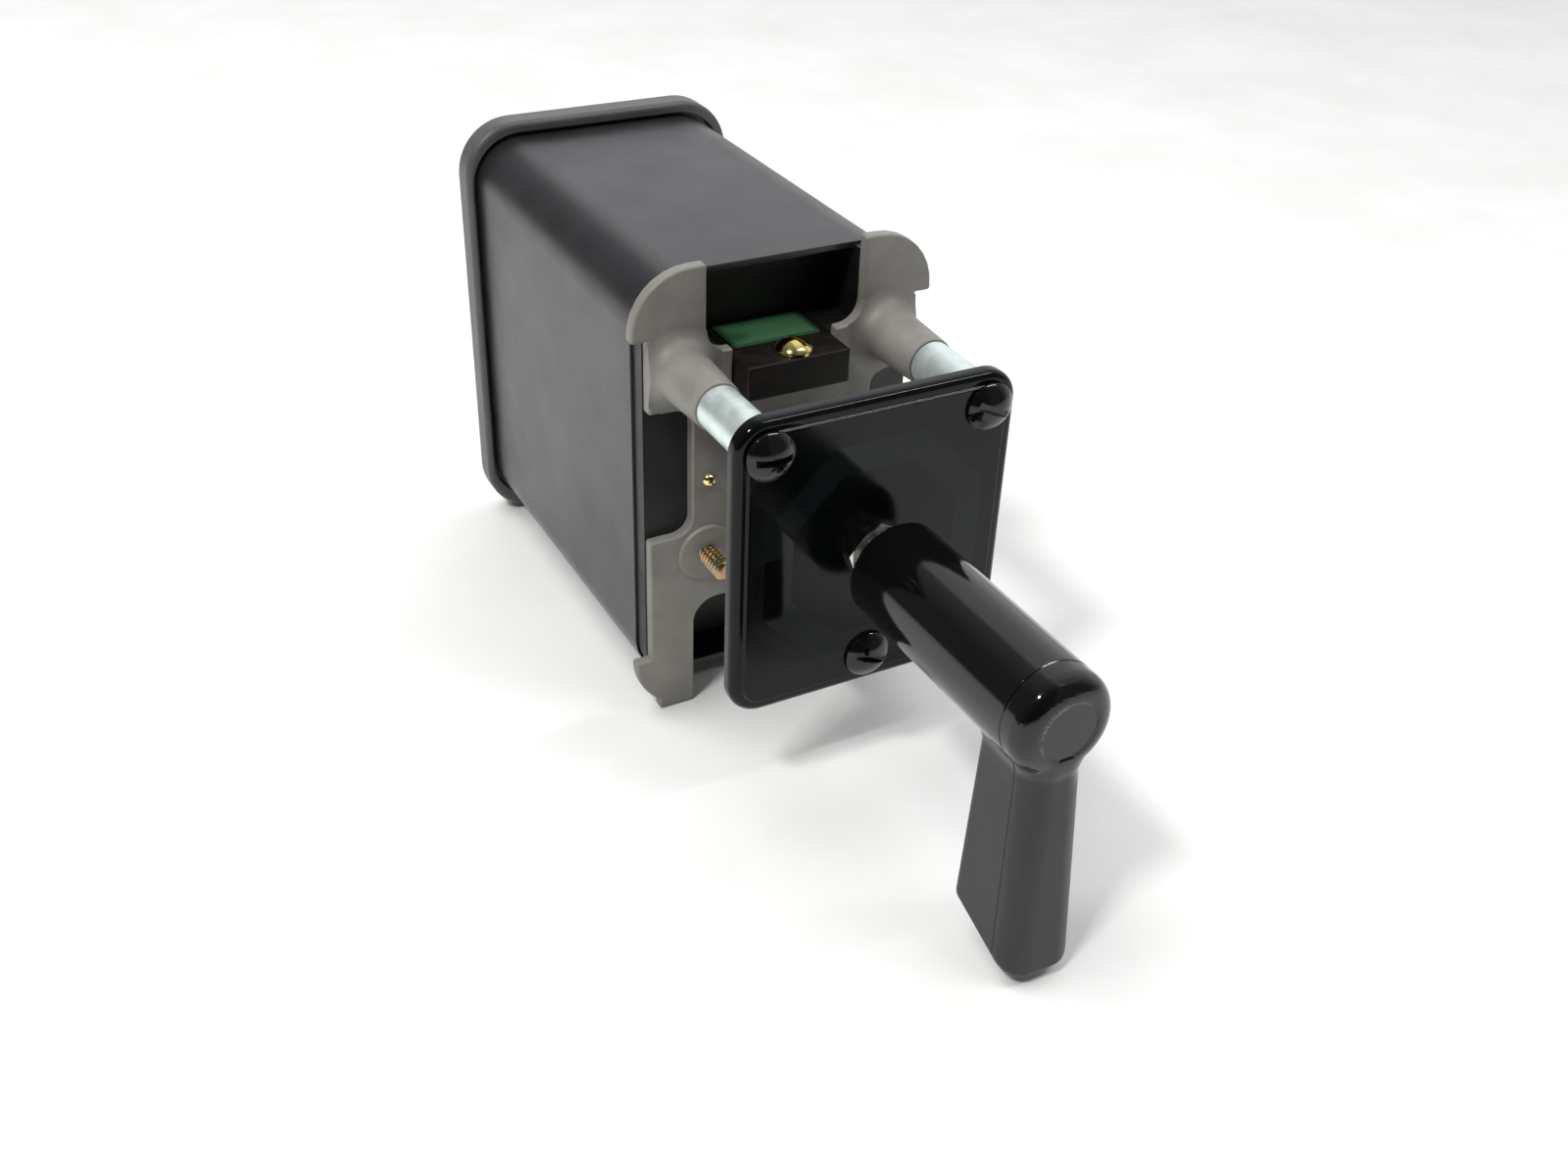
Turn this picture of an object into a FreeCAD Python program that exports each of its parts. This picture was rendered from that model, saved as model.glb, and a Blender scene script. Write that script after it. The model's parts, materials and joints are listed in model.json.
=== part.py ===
import FreeCAD, Part
import math
import os

# Rotary isolator switch for a panel: pistol-grip handle, front plate, die-cast front support, a stack
# of four contact stages on one shaft, and a black cover closed by a rear cap.
#
# Millimetres. The origin is on the shaft axis at the back face of the front plate, which is the panel's
# front face. X is to the right seen from the front, Y goes into the panel, Z is up.

# ---- driving dimensions --------------------------------------------------------------------------
# fits
RUNNING = 0.06            # radial gap of a turning fit
SLIDING = 0.10            # gap on each side of a sliding or drop-in fit
LOOSE = 0.30              # gap round a screw or rod that passes through

# front plate
PLATE_MARGIN = 6.35       # from the upper screws out to the plate's sides
PLATE_HEIGHT = 61.0
PLATE_RISE = 0.3          # plate centre above the shaft axis
PLATE_THICK = 3.6
PLATE_CORNER = 6.5
PLATE_EDGE = 1.5          # rounding of the front edge

# fixing screws, their spacer sleeves and the cast posts behind them
SCREW_SPACING = 44.45
SCREW_TOP = 24.3          # upper pair above the shaft axis
SCREW_BOTTOM = -23.25     # single screw below it
SCREW_DIAMETER = 4.83
SCREW_HEAD = 9.4
SCREW_HEAD_RISE = 2.8
SCREW_LENGTH = 24.0       # under the head
SLEEVE_LENGTH = 15.9
SLEEVE_DIAMETER = 8.8
POST_TIP = 9.6
POST_ROOT = 10.8
POST_FLARE = 3.6          # fillet at the root of a post

# front support, the die-cast frame
SUPPORT_FRONT = 32.2
SUPPORT_THICK = 2.4
EAR_OVERHANG = 9.675      # from the upper screws out to the sides of the ears
EAR_STEP = 3.3            # ears standing out beyond the rest of the support
EAR_TOP = 44.2
EAR_BOTTOM = -52.8
EAR_ARC = 12.2
EAR_UNDERCUT_TOP = 31.1
EAR_UNDERCUT_BOTTOM = -39.9
TOE_INSET = 5.1           # outer end of the flat foot under a lower ear, from the ear's side
RECESS_MARGIN = 0.125     # recess wall to the root of the post beside it
RECESS_FLOOR = 26.7
RECESS_CORNER = 4.6
NOTCH_DEPTH = 9.0
NOTCH_TOP = 16.2
NOTCH_BOTTOM = -11.8
NOTCH_CORNER = 3.8
WINDOW_INSET = 12.8       # window wall, from the ear's side
WINDOW_TOP = -28.0
WINDOW_CORNER = 5.2
HUB_RADIUS = 9.0
HUB_RISE = 3.0            # hub standing in front of the support

# shaft and its bearings
SHAFT_DIAMETER = 9.5
SHAFT_SQUARE = 7.94       # across flats, in the handle and in the stages
SHAFT_FRONT = -40.0
SHAFT_ROUND_FRONT = -15.0
JOURNAL_DIAMETER = 7.0
COLLAR_WALL = 0.65        # eight-sided collar in the front plate, round the shaft
COLLAR_LIP = 0.6          # from its body out to its corners
COLLAR_RISE = 1.7
BUSH_WALL = 1.6
RING_THICK = 0.9
RING_WIDTH = 1.8
RING_GROOVE = 0.5
RING_GAP = 0.4

# handle
TUBE_DIAMETER = 19.05
TUBE_REAR = -11.0
TUBE_PARTING = -57.6      # parting plane at the shaft axis
TUBE_FRONT = -63.2
CAP_ROUNDING = 3.6
GRIP_HALF_TOP = 5.4
GRIP_HALF_BOTTOM = 7.2
GRIP_REAR_TOP = -47.8
GRIP_REAR_BOTTOM = -47.2
GRIP_FRONT_TOP = -62.2
GRIP_FRONT_BOTTOM = -65.9
GRIP_HEEL = -44.5         # bottom of the grip at its rear edge
GRIP_TOE = -51.0          # bottom of the grip at its front edge
GRIP_BACK_CORNER = 1.8
GRIP_CROWN = 4.6
GRIP_BOTTOM_EDGE = 1.6
GRIP_SPARE = 20.0         # how far cutting shapes reach beyond the grip
PARTING_LEAN = 3.4        # degrees, the foot of the parting plane leaning forward
PARTING_GROOVE = 0.3
HANDLE_SCREW_DIAMETER = 4.2
HANDLE_SCREW_HEAD = 7.4
HANDLE_SCREW_RISE = 2.6
HANDLE_SCREW_LENGTH = 14.0
HANDLE_FLOOR = 3.0        # web between the shaft's end and the screw's head

# cover and rear cap
COVER_SIDE_INSET = 2.45   # cover inside the outline of the ears
COVER_TOP_INSET = 3.2
COVER_BOTTOM_INSET = 3.9
COVER_WALL = 1.3
COVER_CORNER = 10.5
COVER_FRONT = 38.5
CAP_DEPTH = 6.6
CAP_SIDE_INSET = 0.15
CAP_CORNER = 12.0
CAP_WALL = 3.6
CAP_LIP = 2.0             # depth of the seat that holds the cover's rear edge
CAP_EDGE = 1.2
CAP_ROOM = 1.7            # ends of the tie rods to the cap's front face
PILLAR_DIAMETER = 7.0
PILLAR_TOP = 31.0
PILLAR_BOTTOM = -38.0
CAP_SCREW_DIAMETER = 3.5
CAP_SCREW_HEAD = 6.6
CAP_SCREW_RISE = 2.0
CAP_SCREW_SUNK = 0.3
CAP_SCREW_BITE = 6.0
THREAD_DEPTH = 0.4        # tapped hole smaller in radius than its screw

# switching stages
STAGES = 4
STAGE_PITCH = 15.875
STAGE_FRONT = 47.0
STAGE_WALL = 2.4
STAGE_CORNER = 8.6
STAGE_GAP = 0.3           # stage block to the inside of the cover
HUB_OF_CAM = 6.8
CAM_RADIUS = 9.5          # where the carrier's nose rides with the handle at rest
CAM_THICK = 8.0
TURN = 45.0               # degrees each way
FLANK_SPARE = 8.0         # degrees of cam flank past each end of the turn
LIFT = 1.5                # carrier travel over that turn
CARRIER_HALF = 4.9
CARRIER_LENGTH = 10.4
CARRIER_NOSE = 1.2
BRIDGE_OFFSET = 5.9       # from the nose's tip to the moving contact
BRIDGE_THICK = 1.0
BRIDGE_HALF = 10.6
BRIDGE_WIDTH = 5.6
CONTACT_RADIUS = 1.7
CONTACT_RISE = 0.8
CONTACT_HEIGHT = 8.4      # of each contact point above or below the axis
CONTACT_TOUCH = 0.04      # left between closed contacts
STRIP_THICK = 1.0
STRIP_WIDTH = 5.6
STRIP_END = 36.0
TERMINAL_HEIGHT = 31.5
TERMINAL_POCKET = 9.6
TERMINAL_SCREW = 3.5
TERMINAL_HEAD = 6.2
TERMINAL_HEAD_RISE = 2.0
TERMINAL_BITE = 6.0       # screw in the stage block behind the strip
SPRING_THICK = 0.45
SPRING_HALF_WIDTH = 2.0

# detent and stops
FLANGE_INSET = 0.6        # housing flange inside the cover's outline
DETENT_WALL = 2.2
DETENT_CAVITY = 13.6
DETENT_GAP = 0.4          # turning parts to the walls in front of and behind them
WHEEL_RADIUS = 9.6
WHEEL_NOTCH = 1.6
WHEEL_THICK = 5.0
STOP_THICK = 2.6
STOP_ARM = 12.4
STOP_PIN_CIRCLE = 10.4
STOP_PIN_DIAMETER = 3.6
STOP_PLAY = 0.6           # degrees past the last position
LEAF_THICK = 0.7
LEAF_HALF = 12.0
LEAF_ROOM = 3.6

# tie rods
ROD_DIAMETER = 4.17
ROD_PROUD = 8.2           # lower rods in front of the support
UPPER_ROD_BITE = 8.0      # upper rods into the posts
ROD_CHAMFER = 0.4
LOWER_ROD = (16.4, -16.7)
BOSS_DIAMETER = 12.0
BOSS_RISE = 0.7
BARRIER_THICK = 2.0
REAR_PLATE_THICK = 2.5
REAR_PLATE_INSET = 1.0
WASHER_THICK = 0.8
NUT_THICK = 3.2
NUT_FLATS = 8.6

# terminal block in the recess
BLOCK_HALF = 11.0
BLOCK_TOP = 25.0
BLOCK_BOTTOM = 18.0
BLOCK_FRONT = 26.3
BLOCK_SCREW_X = 0.6
BLOCK_SCREW_Y = 30.2
BLOCK_EDGE = 0.5
BLOCK_SCREW_HEAD = 7.4
BLOCK_SCREW_RISE = 2.6
BLOCK_SCREW_DIAMETER = 3.8
BLOCK_SCREW_BITE = 4.6
LABEL_HALF = 9.4
LABEL_FRONT = 35.2
LABEL_REAR = 45.8
LABEL_THICK = 0.25
SMALL_SCREW = (16.0, -0.2)
SMALL_SCREW_HEAD = 2.9
SMALL_SCREW_DIAMETER = 1.8
SMALL_SCREW_RISE = 1.3
SMALL_SCREW_BITE = 5.0

# every screw slot, as shares of its head
SLOT_WIDTH_SHARE = 0.14
SLOT_DEPTH_SHARE = 0.45

# ---- places worked out from them -----------------------------------------------------------------
PLATE_WIDTH = SCREW_SPACING + 2 * PLATE_MARGIN
EAR_HALF = SCREW_SPACING / 2 + EAR_OVERHANG
SUPPORT_HALF = EAR_HALF - EAR_STEP
TOE_HALF = EAR_HALF - TOE_INSET
WINDOW_HALF = EAR_HALF - WINDOW_INSET
NOTCH_WALL = SUPPORT_HALF - NOTCH_DEPTH
RECESS_HALF = SCREW_SPACING / 2 - POST_ROOT / 2 - RECESS_MARGIN
COLLAR_BODY = SHAFT_DIAMETER + 2 * COLLAR_WALL
COLLAR_CIRCLE = COLLAR_BODY + 2 * COLLAR_LIP
COVER_HALF = EAR_HALF - COVER_SIDE_INSET
COVER_TOP = EAR_TOP - COVER_TOP_INSET
COVER_BOTTOM = EAR_BOTTOM + COVER_BOTTOM_INSET
CAP_HALF = EAR_HALF - CAP_SIDE_INSET
SUPPORT_BACK = SUPPORT_FRONT + SUPPORT_THICK
STAGE_END = STAGE_FRONT + STAGES * STAGE_PITCH
PLATE_BACK = STAGE_END + BARRIER_THICK + REAR_PLATE_THICK
ROD_END = PLATE_BACK + WASHER_THICK + NUT_THICK + 1.0
CAP_FRONT = ROD_END + CAP_ROOM
CAP_REAR = CAP_FRONT + CAP_DEPTH
UPPER_ROD = (SCREW_SPACING / 2, SCREW_TOP)
SCREW_PLACES = [(-SCREW_SPACING / 2, SCREW_TOP), (SCREW_SPACING / 2, SCREW_TOP), (0.0, SCREW_BOTTOM)]
LOWER_RODS = [(-LOWER_ROD[0], LOWER_ROD[1]), LOWER_ROD]
UPPER_RODS = [(-UPPER_ROD[0], UPPER_ROD[1]), UPPER_ROD]
LIFT_RATE = LIFT / math.radians(TURN)         # mm of travel per radian
INNER_HALF = COVER_HALF - COVER_WALL
INNER_TOP = COVER_TOP - COVER_WALL
INNER_BOTTOM = COVER_BOTTOM + COVER_WALL
STAGE_HALF = INNER_HALF - STAGE_GAP
STAGE_TOP = INNER_TOP - STAGE_GAP
STAGE_BOTTOM = INNER_BOTTOM + STAGE_GAP

V = FreeCAD.Vector


# ---- shapes --------------------------------------------------------------------------------------
def box(x0, x1, y0, y1, z0, z1):
    return Part.makeBox(x1 - x0, y1 - y0, z1 - z0, V(x0, y0, z0))


def rod_y(place, radius, y0, y1):
    """Round bar along Y at place (x, z)."""
    return Part.makeCylinder(radius, y1 - y0, V(place[0], y0, place[1]), V(0, 1, 0))


def tube_y(place, outer, inner, y0, y1):
    return rod_y(place, outer, y0, y1).cut(rod_y(place, inner, y0, y1))


def extrude_y(wire, y0, y1):
    """Push a closed wire, drawn in the plane Y = 0, from y0 to y1."""
    solid = Part.Face(wire).extrude(V(0, y1 - y0, 0))
    solid.translate(V(0, y0, 0))
    return solid


def outline(corners):
    """Closed wire in the XZ plane through corners (x, z, radius), each corner rounded by its radius."""
    count = len(corners)
    starts = []
    ends = []
    arcs = []
    for i, (x, z, radius) in enumerate(corners):
        here = V(x, 0, z)
        back = V(corners[i - 1][0], 0, corners[i - 1][1]).sub(here).normalize()
        ahead = V(corners[(i + 1) % count][0], 0, corners[(i + 1) % count][1]).sub(here).normalize()
        if radius <= 0:
            starts.append(here)
            ends.append(here)
            arcs.append(None)
            continue
        half = back.getAngle(ahead) / 2
        reach = radius / math.tan(half)
        inward = (back + ahead).normalize()
        starts.append(here + back * reach)
        ends.append(here + ahead * reach)
        arcs.append(here + inward * (radius / math.sin(half) - radius))
    edges = []
    for i in range(count):
        if arcs[i] is not None:
            edges.append(Part.Arc(starts[i], arcs[i], ends[i]).toShape())
        following = starts[(i + 1) % count]
        if ends[i].distanceToPoint(following) > 1e-6:
            edges.append(Part.makeLine(ends[i], following))
    return Part.Wire(edges)


def mirrored(right_half):
    """Corners of a right half, top to bottom, followed by their mirror images back up the left side."""
    return right_half + [(-x, z, radius) for x, z, radius in reversed(right_half)]


def rounded_block(half, bottom, top, radius, y0, y1):
    return extrude_y(outline(mirrored([(half, top, radius), (half, bottom, radius)])), y0, y1)


def square_y(side, y0, y1):
    return box(-side / 2, side / 2, y0, y1, -side / 2, side / 2)


def polygon_y(place, sides, across_corners, y0, y1, first=0.0):
    points = []
    for i in range(sides):
        angle = math.radians(first + 360.0 * i / sides)
        points.append((place[0] + across_corners / 2 * math.cos(angle),
                       place[1] + across_corners / 2 * math.sin(angle), 0))
    return extrude_y(outline(points), y0, y1)


def turned_y(place, profile):
    """Solid of revolution about the Y line at place (x, z), from a profile of (radius, y) points."""
    points = [V(place[0] + r, y, place[1]) for r, y in profile]
    face = Part.Face(Part.makePolygon(points + points[:1]))
    return face.revolve(V(place[0], 0, place[1]), V(0, 1, 0), 360)


def domed_head(diameter, rise, seat):
    """Screw head on -Y: a short rim, then a dome, standing on the plane Y = seat."""
    radius = diameter / 2
    rim = 0.25 * rise
    crown = rise - rim
    sphere_radius = (radius ** 2 + crown ** 2) / (2 * crown)
    ball = Part.makeSphere(sphere_radius, V(0, seat - rise + sphere_radius, 0))
    return rod_y((0, 0), radius, seat - rise, seat).common(ball)


def slot_cut(width, depth, length, top):
    """Screwdriver slot along X, sunk into the head whose highest point is Y = top."""
    return box(-length, length, top - 1.0, top + depth, -width / 2, width / 2)


def screw_y(diameter, head, rise, length, slot_angle=0.0):
    """Round-head screw at the origin: head on -Y, shank on +Y."""
    solid = domed_head(head, rise, 0).fuse(rod_y((0, 0), diameter / 2, 0, length))
    slot = slot_cut(SLOT_WIDTH_SHARE * head, SLOT_DEPTH_SHARE * rise, head, -rise)
    slot.rotate(V(0, 0, 0), V(0, 1, 0), slot_angle)
    return solid.cut(slot)


def placed(shape, x, y, z):
    copy = shape.copy()
    copy.translate(V(x, y, z))
    return copy


def group(solids):
    return Part.makeCompound(solids)


nodes = {}


def keep(name, shape):
    nodes[name] = shape


# ---- front plate, screws and sleeves -------------------------------------------------------------
def front_plate():
    top = PLATE_RISE + PLATE_HEIGHT / 2
    bottom = PLATE_RISE - PLATE_HEIGHT / 2
    plate = rounded_block(PLATE_WIDTH / 2, bottom, top, PLATE_CORNER, -PLATE_THICK, 0)
    front_edges = [e for e in plate.Edges if abs(e.BoundBox.YMax + PLATE_THICK) < 1e-6]
    plate = plate.makeFillet(PLATE_EDGE, front_edges)
    plate = plate.cut(rod_y((0, 0), COLLAR_BODY / 2, -PLATE_THICK, 0))
    for place in SCREW_PLACES:
        plate = plate.cut(rod_y(place, SCREW_DIAMETER / 2 + LOOSE, -PLATE_THICK, 0))
    return plate


def mounting_screws():
    screws = []
    for place, angle in zip(SCREW_PLACES, (24.0, 12.0, 38.0)):
        screw = screw_y(SCREW_DIAMETER, SCREW_HEAD, SCREW_HEAD_RISE, SCREW_LENGTH, angle)
        screws.append(placed(screw, place[0], -PLATE_THICK, place[1]))
    return group(screws)


def spacer_sleeves():
    bore = SCREW_DIAMETER / 2 + LOOSE
    return group([tube_y(place, SLEEVE_DIAMETER / 2, bore, 0, SLEEVE_LENGTH) for place in SCREW_PLACES])


def plate_collar():
    """Eight-sided nickel collar pressed into the plate, which steadies the shaft."""
    head = polygon_y((0, 0), 8, COLLAR_CIRCLE, -PLATE_THICK - COLLAR_RISE, -PLATE_THICK, first=-4.0)
    body = rod_y((0, 0), COLLAR_BODY / 2, -PLATE_THICK, 0)
    bore = rod_y((0, 0), SHAFT_DIAMETER / 2 + RUNNING, -PLATE_THICK - COLLAR_RISE, 0)
    return head.fuse(body).cut(bore)


# ---- front support -------------------------------------------------------------------------------
def support_outline():
    sharp = 0.5
    return outline(mirrored([
        (RECESS_HALF, RECESS_FLOOR, RECESS_CORNER),
        (RECESS_HALF, EAR_TOP, sharp),
        (EAR_HALF, EAR_TOP, EAR_ARC),
        (EAR_HALF, EAR_UNDERCUT_TOP, sharp),
        (SUPPORT_HALF, EAR_UNDERCUT_TOP, 0),
        (SUPPORT_HALF, NOTCH_TOP, sharp),
        (NOTCH_WALL, NOTCH_TOP, NOTCH_CORNER),
        (NOTCH_WALL, NOTCH_BOTTOM, NOTCH_CORNER),
        (SUPPORT_HALF, NOTCH_BOTTOM, sharp),
        (SUPPORT_HALF, EAR_UNDERCUT_BOTTOM, 0),
        (EAR_HALF, EAR_UNDERCUT_BOTTOM, sharp),
        (EAR_HALF, EAR_BOTTOM, EAR_ARC),
        (WINDOW_HALF, EAR_BOTTOM, 0),
        (WINDOW_HALF, WINDOW_TOP, WINDOW_CORNER),
    ]))


def post(place):
    """Cast post with a tapered shank and a hollow flare where it grows out of the plate."""
    steps = 8
    profile = [(0, SLEEVE_LENGTH), (POST_TIP / 2, SLEEVE_LENGTH)]
    for i in range(steps + 1):
        angle = math.radians(90.0 * i / steps)
        radius = POST_ROOT / 2 + POST_FLARE * (1 - math.cos(angle))
        profile.append((radius, SUPPORT_FRONT - POST_FLARE * (1 - math.sin(angle))))
    profile.append((POST_ROOT / 2 + POST_FLARE, SUPPORT_BACK))
    profile.append((0, SUPPORT_BACK))
    return turned_y(place, profile)


def front_support():
    plate = extrude_y(support_outline(), SUPPORT_FRONT, SUPPORT_BACK)
    shadow = extrude_y(support_outline(), 0, SUPPORT_BACK)
    shadow = shadow.fuse(rod_y(SCREW_PLACES[2], POST_ROOT / 2, 0, SUPPORT_BACK))
    for side in (-1, 1):
        inner, outer = sorted((side * WINDOW_HALF, side * TOE_HALF))
        toe = box(inner, outer, SUPPORT_FRONT, SUPPORT_BACK, EAR_BOTTOM, EAR_BOTTOM + EAR_ARC / 2)
        plate = plate.fuse(toe)
    for place in SCREW_PLACES:
        plate = plate.fuse(post(place).common(shadow))
    for place in LOWER_RODS:
        boss = rod_y(place, BOSS_DIAMETER / 2, SUPPORT_FRONT - BOSS_RISE, SUPPORT_BACK)
        plate = plate.fuse(boss.common(shadow))
    plate = plate.fuse(rod_y((0, 0), HUB_RADIUS, SUPPORT_FRONT - HUB_RISE, SUPPORT_BACK))
    plate = plate.cut(rod_y((0, 0), SHAFT_DIAMETER / 2 + BUSH_WALL, 0, SUPPORT_BACK))
    for place in SCREW_PLACES:
        plate = plate.cut(rod_y(place, SCREW_DIAMETER / 2, 0, SCREW_LENGTH - PLATE_THICK))
    for place in LOWER_RODS:
        plate = plate.cut(rod_y(place, ROD_DIAMETER / 2, 0, SUPPORT_BACK))
    for place in UPPER_RODS:
        plate = plate.cut(rod_y(place, ROD_DIAMETER / 2, SUPPORT_BACK - UPPER_ROD_BITE, SUPPORT_BACK))
    for x in (-SMALL_SCREW[0], SMALL_SCREW[0]):
        hole = rod_y((x, SMALL_SCREW[1]), SMALL_SCREW_DIAMETER / 2 + SLIDING, 0, SUPPORT_BACK)
        plate = plate.cut(hole)
    slot_half = BLOCK_HALF + SLIDING
    slot = box(-slot_half, slot_half, 0, SUPPORT_BACK, BLOCK_BOTTOM, RECESS_FLOOR + 1.0)
    return plate.cut(slot).removeSplitter()


def support_bush():
    bore = SHAFT_DIAMETER / 2 + RUNNING
    return tube_y((0, 0), SHAFT_DIAMETER / 2 + BUSH_WALL, bore, SUPPORT_FRONT - HUB_RISE, SUPPORT_BACK)


def small_screws():
    length = SUPPORT_THICK + SMALL_SCREW_BITE
    screw = screw_y(SMALL_SCREW_DIAMETER, SMALL_SCREW_HEAD, SMALL_SCREW_RISE, length, 60.0)
    places = (-SMALL_SCREW[0], SMALL_SCREW[0])
    return group([placed(screw, x, SUPPORT_FRONT, SMALL_SCREW[1]) for x in places])


# ---- detent housing, wheel, springs and stops ----------------------------------------------------
def clear_rods(shape, y0, y1):
    for place in LOWER_RODS + UPPER_RODS:
        shape = shape.cut(rod_y(place, ROD_DIAMETER / 2 + LOOSE, y0, y1))
    return shape


def stop_pin_places():
    lug = math.degrees(math.asin(STOP_THICK / STOP_PIN_CIRCLE))
    pin = math.degrees(math.asin(STOP_PIN_DIAMETER / 2 / STOP_PIN_CIRCLE))
    angle = math.radians(TURN + STOP_PLAY + lug + pin)
    places = []
    for side in (-1, 1):
        places.append((side * STOP_PIN_CIRCLE * math.sin(angle), STOP_PIN_CIRCLE * math.cos(angle)))
    return places


def leaf_pocket(side):
    outer = WHEEL_RADIUS + LEAF_THICK + LEAF_ROOM
    x0, x1 = sorted((side * (WHEEL_RADIUS - 1.0), side * outer))
    y0 = STAGE_FRONT - WHEEL_THICK - 1.0
    return box(x0, x1, y0, STAGE_FRONT, -LEAF_HALF, LEAF_HALF)


def detent_housing():
    flange = rounded_block(COVER_HALF - FLANGE_INSET, COVER_BOTTOM + FLANGE_INSET, COVER_TOP - FLANGE_INSET,
                           COVER_CORNER - FLANGE_INSET, SUPPORT_BACK, COVER_FRONT)
    core = rounded_block(STAGE_HALF, STAGE_BOTTOM, STAGE_TOP, STAGE_CORNER, SUPPORT_BACK, STAGE_FRONT)
    housing = flange.fuse(core)
    housing = housing.cut(rod_y((0, 0), DETENT_CAVITY, SUPPORT_BACK + DETENT_WALL, STAGE_FRONT))
    housing = housing.cut(rod_y((0, 0), HUB_OF_CAM + LOOSE, SUPPORT_BACK, STAGE_FRONT))
    for side in (-1, 1):
        housing = housing.cut(leaf_pocket(side))
    high = COVER_TOP + 1.0
    low = COVER_BOTTOM - 1.0
    wire_room = box(-RECESS_HALF - 1.0, RECESS_HALF + 1.0, SUPPORT_BACK, STAGE_FRONT, BLOCK_TOP, high)
    seat = box(-BLOCK_HALF - SLIDING, BLOCK_HALF + SLIDING, SUPPORT_BACK, STAGE_FRONT, BLOCK_BOTTOM, high)
    window = box(-WINDOW_HALF, WINDOW_HALF, SUPPORT_BACK, STAGE_FRONT, low, WINDOW_TOP + 1.0)
    housing = housing.cut(wire_room).cut(seat).cut(window)
    for place in stop_pin_places():
        housing = housing.cut(rod_y(place, STOP_PIN_DIAMETER / 2, SUPPORT_BACK, STAGE_FRONT))
    for x in (-SMALL_SCREW[0], SMALL_SCREW[0]):
        end = SUPPORT_BACK + SMALL_SCREW_BITE
        tapped = rod_y((x, SMALL_SCREW[1]), SMALL_SCREW_DIAMETER / 2, SUPPORT_BACK, end)
        housing = housing.cut(tapped)
    return clear_rods(housing, SUPPORT_BACK, STAGE_FRONT)


STOP_FRONT = SUPPORT_BACK + DETENT_WALL + DETENT_GAP
WHEEL_FRONT = STAGE_FRONT - WHEEL_THICK - DETENT_GAP


def stop_pins():
    y0 = SUPPORT_BACK
    return group([rod_y(p, STOP_PIN_DIAMETER / 2, y0, STOP_FRONT + STOP_THICK) for p in stop_pin_places()])


def stop_arm():
    """Arm on the shaft whose lug, straight up at rest, meets a pin at the end of each turn."""
    hub = rod_y((0, 0), HUB_OF_CAM, STOP_FRONT, STOP_FRONT + STOP_THICK)
    half = STOP_THICK
    lug = box(-half, half, STOP_FRONT, STOP_FRONT + STOP_THICK, 0, STOP_ARM)
    lug = lug.common(rod_y((0, 0), STOP_ARM, STOP_FRONT, STOP_FRONT + STOP_THICK))
    return hub.fuse(lug).cut(square_y(SHAFT_SQUARE, STOP_FRONT, STOP_FRONT + STOP_THICK))


def detent_wheel():
    """Eight-notch wheel: each notch is one 45 degree position."""
    wheel = rod_y((0, 0), WHEEL_RADIUS, WHEEL_FRONT, WHEEL_FRONT + WHEEL_THICK)
    for i in range(8):
        angle = math.radians(TURN * i)
        reach = WHEEL_RADIUS + 1.0
        place = (reach * math.cos(angle), reach * math.sin(angle))
        notch = rod_y(place, WHEEL_NOTCH + 1.0, WHEEL_FRONT, WHEEL_FRONT + WHEEL_THICK)
        wheel = wheel.cut(notch)
    spacer = rod_y((0, 0), HUB_OF_CAM, STOP_FRONT + STOP_THICK, WHEEL_FRONT)
    bore = square_y(SHAFT_SQUARE, STOP_FRONT, STAGE_FRONT)
    return wheel.fuse(spacer).cut(bore)


def detent_spring(side):
    """Flat spring with a formed nose that rests in a notch of the wheel."""
    nose = WHEEL_RADIUS - WHEEL_NOTCH + SLIDING
    flat = WHEEL_RADIUS + 1.6
    rise = 4.0
    low = -LEAF_HALF
    high = LEAF_HALF - 1.0
    skew = LEAF_THICK * 0.8
    points = [(flat, low), (flat, -rise), (nose, -0.7), (nose, 0.7), (flat, rise), (flat, high),
              (flat + LEAF_THICK, high), (flat + LEAF_THICK, rise - skew), (nose + LEAF_THICK, 0.2),
              (nose + LEAF_THICK, -0.2), (flat + LEAF_THICK, -rise + skew), (flat + LEAF_THICK, low)]
    wire = outline([(side * x, z, 0) for x, z in points])
    return extrude_y(wire, WHEEL_FRONT + DETENT_GAP, WHEEL_FRONT + WHEEL_THICK - DETENT_GAP)


# ---- stages --------------------------------------------------------------------------------------
def stage_start(index):
    return STAGE_FRONT + index * STAGE_PITCH


CAM_START = (STAGE_WALL + STAGE_PITCH - CAM_THICK) / 2          # from the stage's front face
NOSE_TIP = CAM_RADIUS + SLIDING
BRIDGE_INNER = NOSE_TIP + BRIDGE_OFFSET
STRIP_FACE = BRIDGE_INNER - CONTACT_RISE - LIFT - CONTACT_TOUCH
POCKET_HEIGHT = BRIDGE_HALF + 2 * SLIDING
SPRING_ROOM = LIFT + 2.6
FLANK = math.radians(TURN + FLANK_SPARE)


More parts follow.
